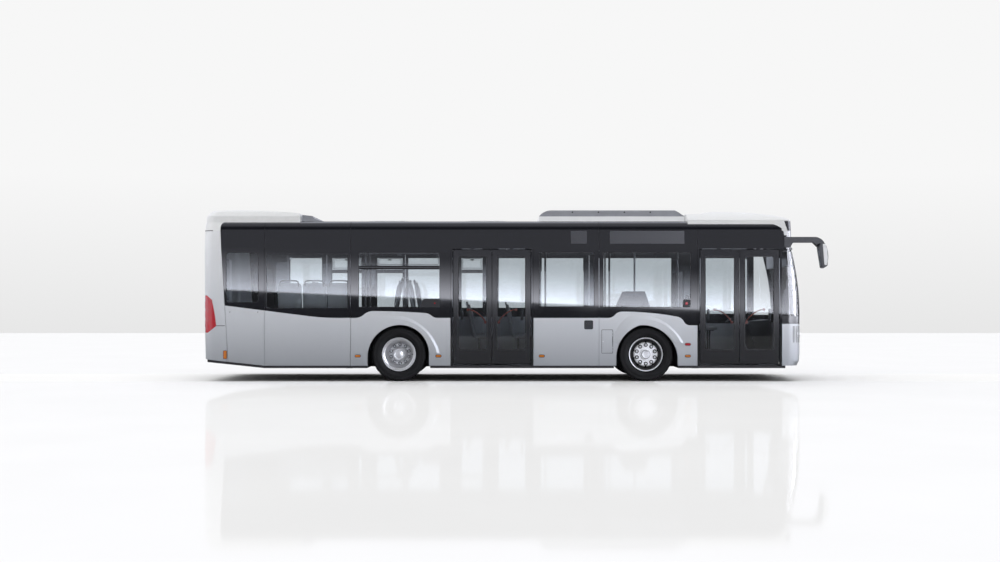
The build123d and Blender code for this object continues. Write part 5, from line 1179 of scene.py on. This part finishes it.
class BUS_OT_front(bpy.types.Operator):
    """Adds wipers, the blank sign behind the windscreen, and mirror shells and faces"""

    bl_idname = "bus.front"
    bl_label = "Front end"

    def execute(self, context):
        screen = islands("windscreen")[0]
        low, high = extent(screen)

        def reach(y, z):
            near = sorted(screen, key=lambda p: (p.y - y) ** 2 + (p.z - z) ** 2 - 0.15 * p.x)[:6]
            return max(p.x for p in near)

        kit = Kit()
        for pivot in (-0.62, 0.62):
            foot = Vector((reach(pivot, low.z + 0.05) + 0.004, pivot, low.z + 0.035))
            line = [foot]
            for k in range(1, 7):
                y, z = pivot + 0.60 * k / 6 * 0.95, low.z + 0.05 + 0.05 * k / 6
                line.append(Vector((reach(y, z) + 0.014, y, z)))
            kit.tube(line, 0.007, 8)
            blade = [Vector((p.x - 0.004, p.y, p.z + 0.030)) for p in line[2:]]
            kit.tube(blade, 0.0045, 6)
            kit.tube([line[4], blade[2]], 0.005, 6)
            kit.box(foot - Vector((0.02, 0.022, 0.018)), foot + Vector((0.012, 0.022, 0.018)), 0.006)
        kit.done("wipers", "black_plastic", ROOT, "black_plastic", 40.0)
        sign = Kit()
        x = reach(0.0, high.z - 0.16) - 0.10
        sign.box((x - 0.05, -0.86, high.z - 0.30), (x, 0.86, high.z - 0.03), 0.008)
        sign.box((x, -0.82, high.z - 0.275), (x + 0.004, 0.82, high.z - 0.055), 0.001)
        sign.done("front_sign", "sign_panel", ROOT, "sign_panel")
        self.mirrors()
        return {"FINISHED"}

    def mirrors(self):
        """Pale front shells and the looking glasses of both mirror heads."""
        low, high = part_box("mirrors")
        tip, foot = high.x, low.z
        shells, faces = Kit(), Kit()
        outline = [(tip - behind, foot + rise) for behind, rise in
                   ((0.098, 0.430), (0.070, 0.064), (0.032, 0.052), (0.015, 0.110), (0.009, 0.190), (0.020, 0.320),
                    (0.050, 0.428))]
        (ax, az), (bx, bz) = (tip - 0.107, foot + 0.016), (tip - 0.162, foot + 0.358)
        for points in islands("mirrors"):
            a, b = extent([p for p in points if p.z < foot + 0.30])
            shells.plate(outline, a.y - 0.003, b.y + 0.003)
            rows = []
            for share in (0.06, 0.10, 0.5, 0.90, 0.94):
                side = 0.014 if 0.08 < share < 0.92 else 0.030
                x, z = ax + (bx - ax) * share, az + (bz - az) * share
                rows.append([(x - 0.003, a.y + side, z), (x - 0.003, b.y - side, z), (x + 0.004, b.y - side, z),
                             (x + 0.004, a.y + side, z)])
            faces.rings(rows)
        shells.done("mirror_shells", "white_paint", ROOT, "white_paint")
        faces.done("mirror_faces", "mirror_face", ROOT, "black_plastic")


class BUS_OT_rear(bpy.types.Operator):
    """Adds dark louvres and the pull handle to the engine flap, and the rear seams"""

    bl_idname = "bus.rear"
    bl_label = "Rear end"

    def execute(self, context):
        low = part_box("engine_flap")[0]
        reach = 0.560
        edge = [p for p in islands("engine_flap")[0] if abs(abs(p.y) - reach) < 0.001]
        levels = sorted({round(p.z, 3) for p in edge})
        kit = Kit()
        for z0, z1 in zip(levels[::2], levels[1::2]):
            bottom = max(p.x for p in edge if z0 - 0.001 < p.z < z1 + 0.001)
            rows = []
            for j in range(13):
                y = (2.0 * j / 12 - 1.0) * reach
                x = bottom - (reach ** 2 - y ** 2) / 40.0
                rows.append([(x - 0.002, y, z0 + 0.002), (x - 0.005, y, z1 - 0.002), (x + 0.001, y, z1),
                             (x + 0.001, y, z0)])
            kit.rings(rows)
        kit.done("engine_louvres", "black_plastic", "engine_flap", "black_plastic")
        self.seams()
        grip = Kit()
        bow = ((0.01, -0.10), (-0.006, -0.085), (-0.006, 0.085), (0.01, 0.10))
        grip.tube(soft_line([(low.x + x, y, low.z + 0.10) for x, y in bow], 5), 0.009, 10)
        grip.done("engine_flap_grip", "black_plastic", "engine_flap", "black_plastic")
        return {"FINISHED"}

    def seams(self):
        """Dark joints round the rear header's top and at the bumper corners."""
        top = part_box("rear_header")[1].z
        rim = sorted({(round(p.y, 4), round(p.x, 4)) for p in islands("rear_header")[0] if p.z > top - 0.002})
        line = []
        for y, x in rim:
            while len(line) > 1 and ((line[-1][0] - line[-2][0]) * (x - line[-2][1])
                                     - (line[-1][1] - line[-2][1]) * (y - line[-2][0])) <= 0.0:
                line.pop()
            line.append((y, x))
        kit = Kit()
        kit.tube([(x, y, top) for y, x in line], 0.006, 8)
        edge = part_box("rear_panel")[1]
        for _, side in SIDES:
            y = side * edge.y
            kit.box((edge.x - 0.215, y - side * 0.004, 0.984), (edge.x - 0.052, y + side * 0.0015, 0.994),
                    0.001)
        kit.done("rear_seams", "rubber", ROOT, "black_plastic")


class BUS_OT_roof(bpy.types.Operator):
    """Adds hatches and lifting points on the roof"""

    bl_idname = "bus.roof"
    bl_label = "Roof"

    def execute(self, context):
        low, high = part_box("ac_cover")
        kit = Kit()
        length = high.x - low.x
        for k in range(4):
            x = low.x + length * (0.23 + 0.178 * k)
            for side in (-1.0, 1.0):
                y = side * (high.y - 0.002)
                kit.lathe([(0.0, 0.004), (0.012, 0.004), (0.014, 0.0), (0.014, -0.004)], (x, y, low.z + 0.075),
                          side, 12)
        kit.done("ac_lift_points", "chassis_dark", ROOT, "ac_grey")
        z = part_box("roof_skin")[1].z
        hatch = Kit()
        for x in HATCH_PLACES:
            hatch.box((x - 0.36, -0.36, z - 0.030), (x + 0.36, 0.36, z + 0.014), 0.012)
            hatch.box((x - 0.31, -0.31, z + 0.012), (x + 0.31, 0.31, z + 0.024), 0.010)
            for y in (-0.2, 0.2):
                hatch.box((x - 0.25, y - 0.02, z + 0.020), (x + 0.25, y + 0.02, z + 0.031), 0.005)
        hatch.done("roof_hatches", "white_paint", ROOT, "white_paint")
        return {"FINISHED"}


class BUS_OT_interior(bpy.types.Operator):
    """Adds hand rails, hanging straps and ceiling lamps"""

    bl_idname = "bus.interior"
    bl_label = "Interior"

    def execute(self, context):
        settings = context.scene.bus_trim
        roof_low, roof_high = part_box("roof_skin")
        band_low, band_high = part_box("window_band_right")
        rails, straps, lamps = Kit(), Kit(), Kit()
        z_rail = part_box("side_glass_right")[1].z + 0.11
        x0, x1 = band_low.x + 1.9, band_high.x - 0.2
        for y in (-RAIL_SIDE, RAIL_SIDE):
            rails.tube([(x0, y, z_rail), (x1, y, z_rail)], settings.rail, 10)
            for k in range(5):
                x = x0 + (x1 - x0) * (k + 0.5) / 5
                rails.tube([(x, y, z_rail), (x, y, roof_low.z - 0.02)], settings.rail * 0.8, 8)
        axle = wheel_middle("front_wheel_right").x
        for behind in STRAPS_BEHIND:
            x, y, foot = axle - behind, -RAIL_SIDE, z_rail - settings.strap
            for rise in (0.0, 0.022):
                straps.box((x - 0.014, y - 0.006, foot + rise), (x + 0.014, y + 0.006, z_rail + 0.018 - rise),
                           0.004)
            straps.box((x - 0.017, y - 0.022, z_rail - 0.022), (x + 0.017, y + 0.022, z_rail + 0.024), 0.006)
        for y in (-0.42, 0.42):
            z = roof_low.z + 0.006
            lamps.box((roof_low.x + 1.2, y - 0.07, z - 0.045), (roof_high.x - 0.25, y + 0.07, z - 0.004),
                      0.012)
        rails.done("ceiling_rails", "pole_grey", ROOT, "grab_yellow", 40.0)
        straps.done("grab_straps", "rubber", ROOT, "black_plastic", 40.0)
        lamps.done("ceiling_lamps", "lamp_white", ROOT, "white_paint", 40.0)
        return {"FINISHED"}


class BUS_OT_chassis(bpy.types.Operator):
    """Adds air springs under the floor"""

    bl_idname = "bus.chassis"
    bl_label = "Chassis"

    def execute(self, context):
        kit = Kit()
        bellows = ((0.170, 0.05), (0.176, 0.085), (0.190, 0.10), (0.204, 0.09), (0.218, 0.10), (0.232, 0.085),
                   (0.2355, 0.06))
        for node in ("front_axle", "rear_axle"):
            x = wheel_middle(node).x
            for y in (-SPRING_SIDE, SPRING_SIDE):
                for shift in (-SPRING_SHIFT, SPRING_SHIFT):
                    kit.rings([[(x + shift + r * math.cos(a), y + r * math.sin(a), z) for a in turns(24)]
                               for z, r in bellows])
                kit.box((x - 0.36, y - 0.035, 0.152), (x + 0.36, y + 0.035, 0.174), 0.008)
        kit.done("air_springs", "rubber", ROOT, "chassis_black", 30.0)
        return {"FINISHED"}


class BUS_OT_stage(bpy.types.Operator):
    """Sets the camera, the pale floor and the soft studio light"""

    bl_idname = "bus.stage"
    bl_label = "Studio"

    def execute(self, context):
        scene = context.scene
        settings = scene.bus_stage
        axle = wheel_middle("rear_wheel_right")
        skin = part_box("window_band_right")[0].y
        camera = bpy.data.cameras.new("camera")
        camera.lens = settings.lens
        camera.sensor_width = 36.0
        camera.shift_y = 0.025
        camera.clip_end = 500.0
        holder = bpy.data.objects.new("camera", camera)
        holder.location = (axle.x + settings.along, skin - settings.distance, settings.eye)
        holder.rotation_euler = (math.radians(90.0), 0.0, 0.0)
        scene.collection.objects.link(holder)
        scene.camera = holder
        scene.view_settings.view_transform = "Standard"
        self.floor(scene)
        self.key(scene, settings)
        self.world(scene, settings)
        return {"FINISHED"}

    def key(self, scene, settings):
        """One very wide soft light above the bus, leaning a little from behind it."""
        light = bpy.data.lights.new("key", "SUN")
        light.energy = settings.key
        light.angle = math.radians(80.0)
        holder = bpy.data.objects.new("key", light)
        holder.rotation_euler = (math.radians(-5.0), math.radians(-11.0), 0.0)
        holder.visible_glossy = False
        scene.collection.objects.link(holder)
        holder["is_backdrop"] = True

    def floor(self, scene):
        """A wide pale floor with a faint mirror in it; the mirror is taken out beneath the bus, a painted shadow that
        keeps the floor dark there.
        """
        bm = bmesh.new()
        for x, y in FLOOR_CORNERS:
            bm.verts.new((x, y, 0.0))
        bm.faces.new(bm.verts)
        mesh = bpy.data.meshes.new("floor")
        bm.to_mesh(mesh)
        bm.free()
        g = Graph("studio_floor")
        seen = g.add("ShaderNodeLightPath").outputs["Is Camera Ray"]
        mirrored = g.add("ShaderNodeLightPath").outputs["Is Glossy Ray"]
        hidden = g.span(mirrored, 0.0, 1.0, 0.62, 0.22)
        bounce = g.span(seen, 0.0, 1.0, hidden)
        cloud = g.between(g.noise(0.6), 0.975, 0.995)
        colour = g.add("ShaderNodeVectorMath", {0: cloud, "Scale": bounce}, operation="SCALE").outputs["Vector"]
        matt = g.add("ShaderNodeBsdfDiffuse", {"Color": colour}).outputs["BSDF"]
        low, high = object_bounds()
        # painted shadow: no mirror within the bus's footprint, so the truly shaded floor under the bus is darkened
        # further
        away = g.math("ABSOLUTE", g.math("SUBTRACT", g.axis("Y"), (low.y + high.y) / 2))
        clear = g.span(away, high.y - 0.35, high.y - 0.05, 0.0, 0.16)
        mesh.materials.append(g.surface(g.mixed(clear, matt, g.mirror(0.05))))
        floor = bpy.data.objects.new("floor", mesh)
        scene.collection.objects.link(floor)
        floor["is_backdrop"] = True

    def world(self, scene, settings):
        """Pale to the camera; to mirrors dark, with a low bright strip that dips towards the front."""
        world = bpy.data.worlds.new("studio")
        world.use_nodes = True
        scene.world = world
        g = Nodes(world.node_tree)
        way = g.add("ShaderNodeSeparateXYZ", {"Vector": g.add("ShaderNodeTexCoord").outputs["Generated"]})
        across, deep, up = (way.outputs[name] for name in "XYZ")
        path = g.add("ShaderNodeLightPath")
        seen, mirrored = path.outputs["Is Camera Ray"], path.outputs["Is Glossy Ray"]

        lift = g.math("ADD", g.math("SUBTRACT", up, 0.0037), g.math("MULTIPLY", across, 0.0422))
        fade = g.math("POWER", g.math("SUBTRACT", 1.0, g.math("DIVIDE", lift, 0.034), clamp=True), 1.7)
        above = g.span(lift, -0.0006, 0.0006)
        strip = g.math("MULTIPLY", g.math("MULTIPLY", fade, above), settings.strip)

        sky = g.math("ADD", g.span(up, 0.02, 0.045, 0.10, 0.37), g.span(up, 0.24, 0.33, 0.0, -0.33))
        sky = g.math("ADD", sky, g.span(up, 0.70, 0.95, 0.0, 0.45))
        low_part = g.math("MULTIPLY", g.span(up, -0.02, -0.005), g.span(up, 0.35, 0.55, 1.0, 0.0))
        ahead = g.math("MULTIPLY", g.span(across, 0.235, 0.30, 0.0, settings.ahead), low_part)
        ends = g.math("ADD", ahead, g.span(across, -0.28, -0.50))
        front = g.math("ADD", g.math("ADD", strip, sky), ends)

        overhead = g.span(up, 0.0, 1.0, 0.0, settings.overhead)
        behind = g.span(across, 0.0, -1.0, 0.0, settings.behind)
        soft = g.math("ADD", g.math("ADD", overhead, behind), settings.ambient)
        pale = g.span(up, -0.022, 0.10, 0.80, 0.93)
        mirror = g.choose(g.math("GREATER_THAN", deep, 0.3), pale, front)
        level = g.choose(seen, pale, g.choose(mirrored, mirror, soft))

        tint = g.add("ShaderNodeMix", {"Factor": mirrored}, data_type="RGBA")
        for key, colour in (("A", (1.0, 1.0, 1.0, 1.0)), ("B", (0.93, 0.95, 1.06, 1.0))):
            [s for s in tint.inputs if s.name == key and s.type == "RGBA"][0].default_value = colour
        hue = [s for s in tint.outputs if s.type == "RGBA"][0]
        back = g.add("ShaderNodeBackground", {"Color": hue, "Strength": level}).outputs["Background"]
        g.add("ShaderNodeOutputWorld", {"Surface": back})


class BUS_PT_panel(bpy.types.Panel):
    """Lists the bus's steps"""

    bl_idname = "BUS_PT_panel"
    bl_label = "City bus"
    bl_space_type = "VIEW_3D"
    bl_region_type = "UI"
    bl_category = "City bus"

    def draw(self, context):
        for kind in OPERATORS:
            self.layout.operator(kind.bl_idname)


SETTINGS = (
    (BusPaintSettings, "bus_paint"),
    (BusTyreSettings, "bus_tyre"),
    (BusTrimSettings, "bus_trim"),
    (BusStageSettings, "bus_stage"),
)
OPERATORS = (
    BUS_OT_finishes,
    BUS_OT_tyres,
    BUS_OT_wheels,
    BUS_OT_seats,
    BUS_OT_doors,
    BUS_OT_windows,
    BUS_OT_lamps,
    BUS_OT_fittings,
    BUS_OT_front,
    BUS_OT_rear,
    BUS_OT_roof,
    BUS_OT_interior,
    BUS_OT_chassis,
    BUS_OT_stage,
)


def register():
    """Adds the classes and the scene settings."""
    for kind, name in SETTINGS:
        bpy.utils.register_class(kind)
        setattr(bpy.types.Scene, name, bpy.props.PointerProperty(type=kind))
    for kind in OPERATORS:
        bpy.utils.register_class(kind)
    bpy.utils.register_class(BUS_PT_panel)


def unregister():
    """Takes the classes and the scene settings away."""
    bpy.utils.unregister_class(BUS_PT_panel)
    for kind in reversed(OPERATORS):
        bpy.utils.unregister_class(kind)
    for kind, name in reversed(SETTINGS):
        delattr(bpy.types.Scene, name)
        bpy.utils.unregister_class(kind)


def main():
    """Builds the whole scene step by step."""
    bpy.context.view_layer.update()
    register()
    for kind in OPERATORS:
        group, name = kind.bl_idname.split(".")
        getattr(getattr(bpy.ops, group), name)()


if __name__ == "__main__":
    main()
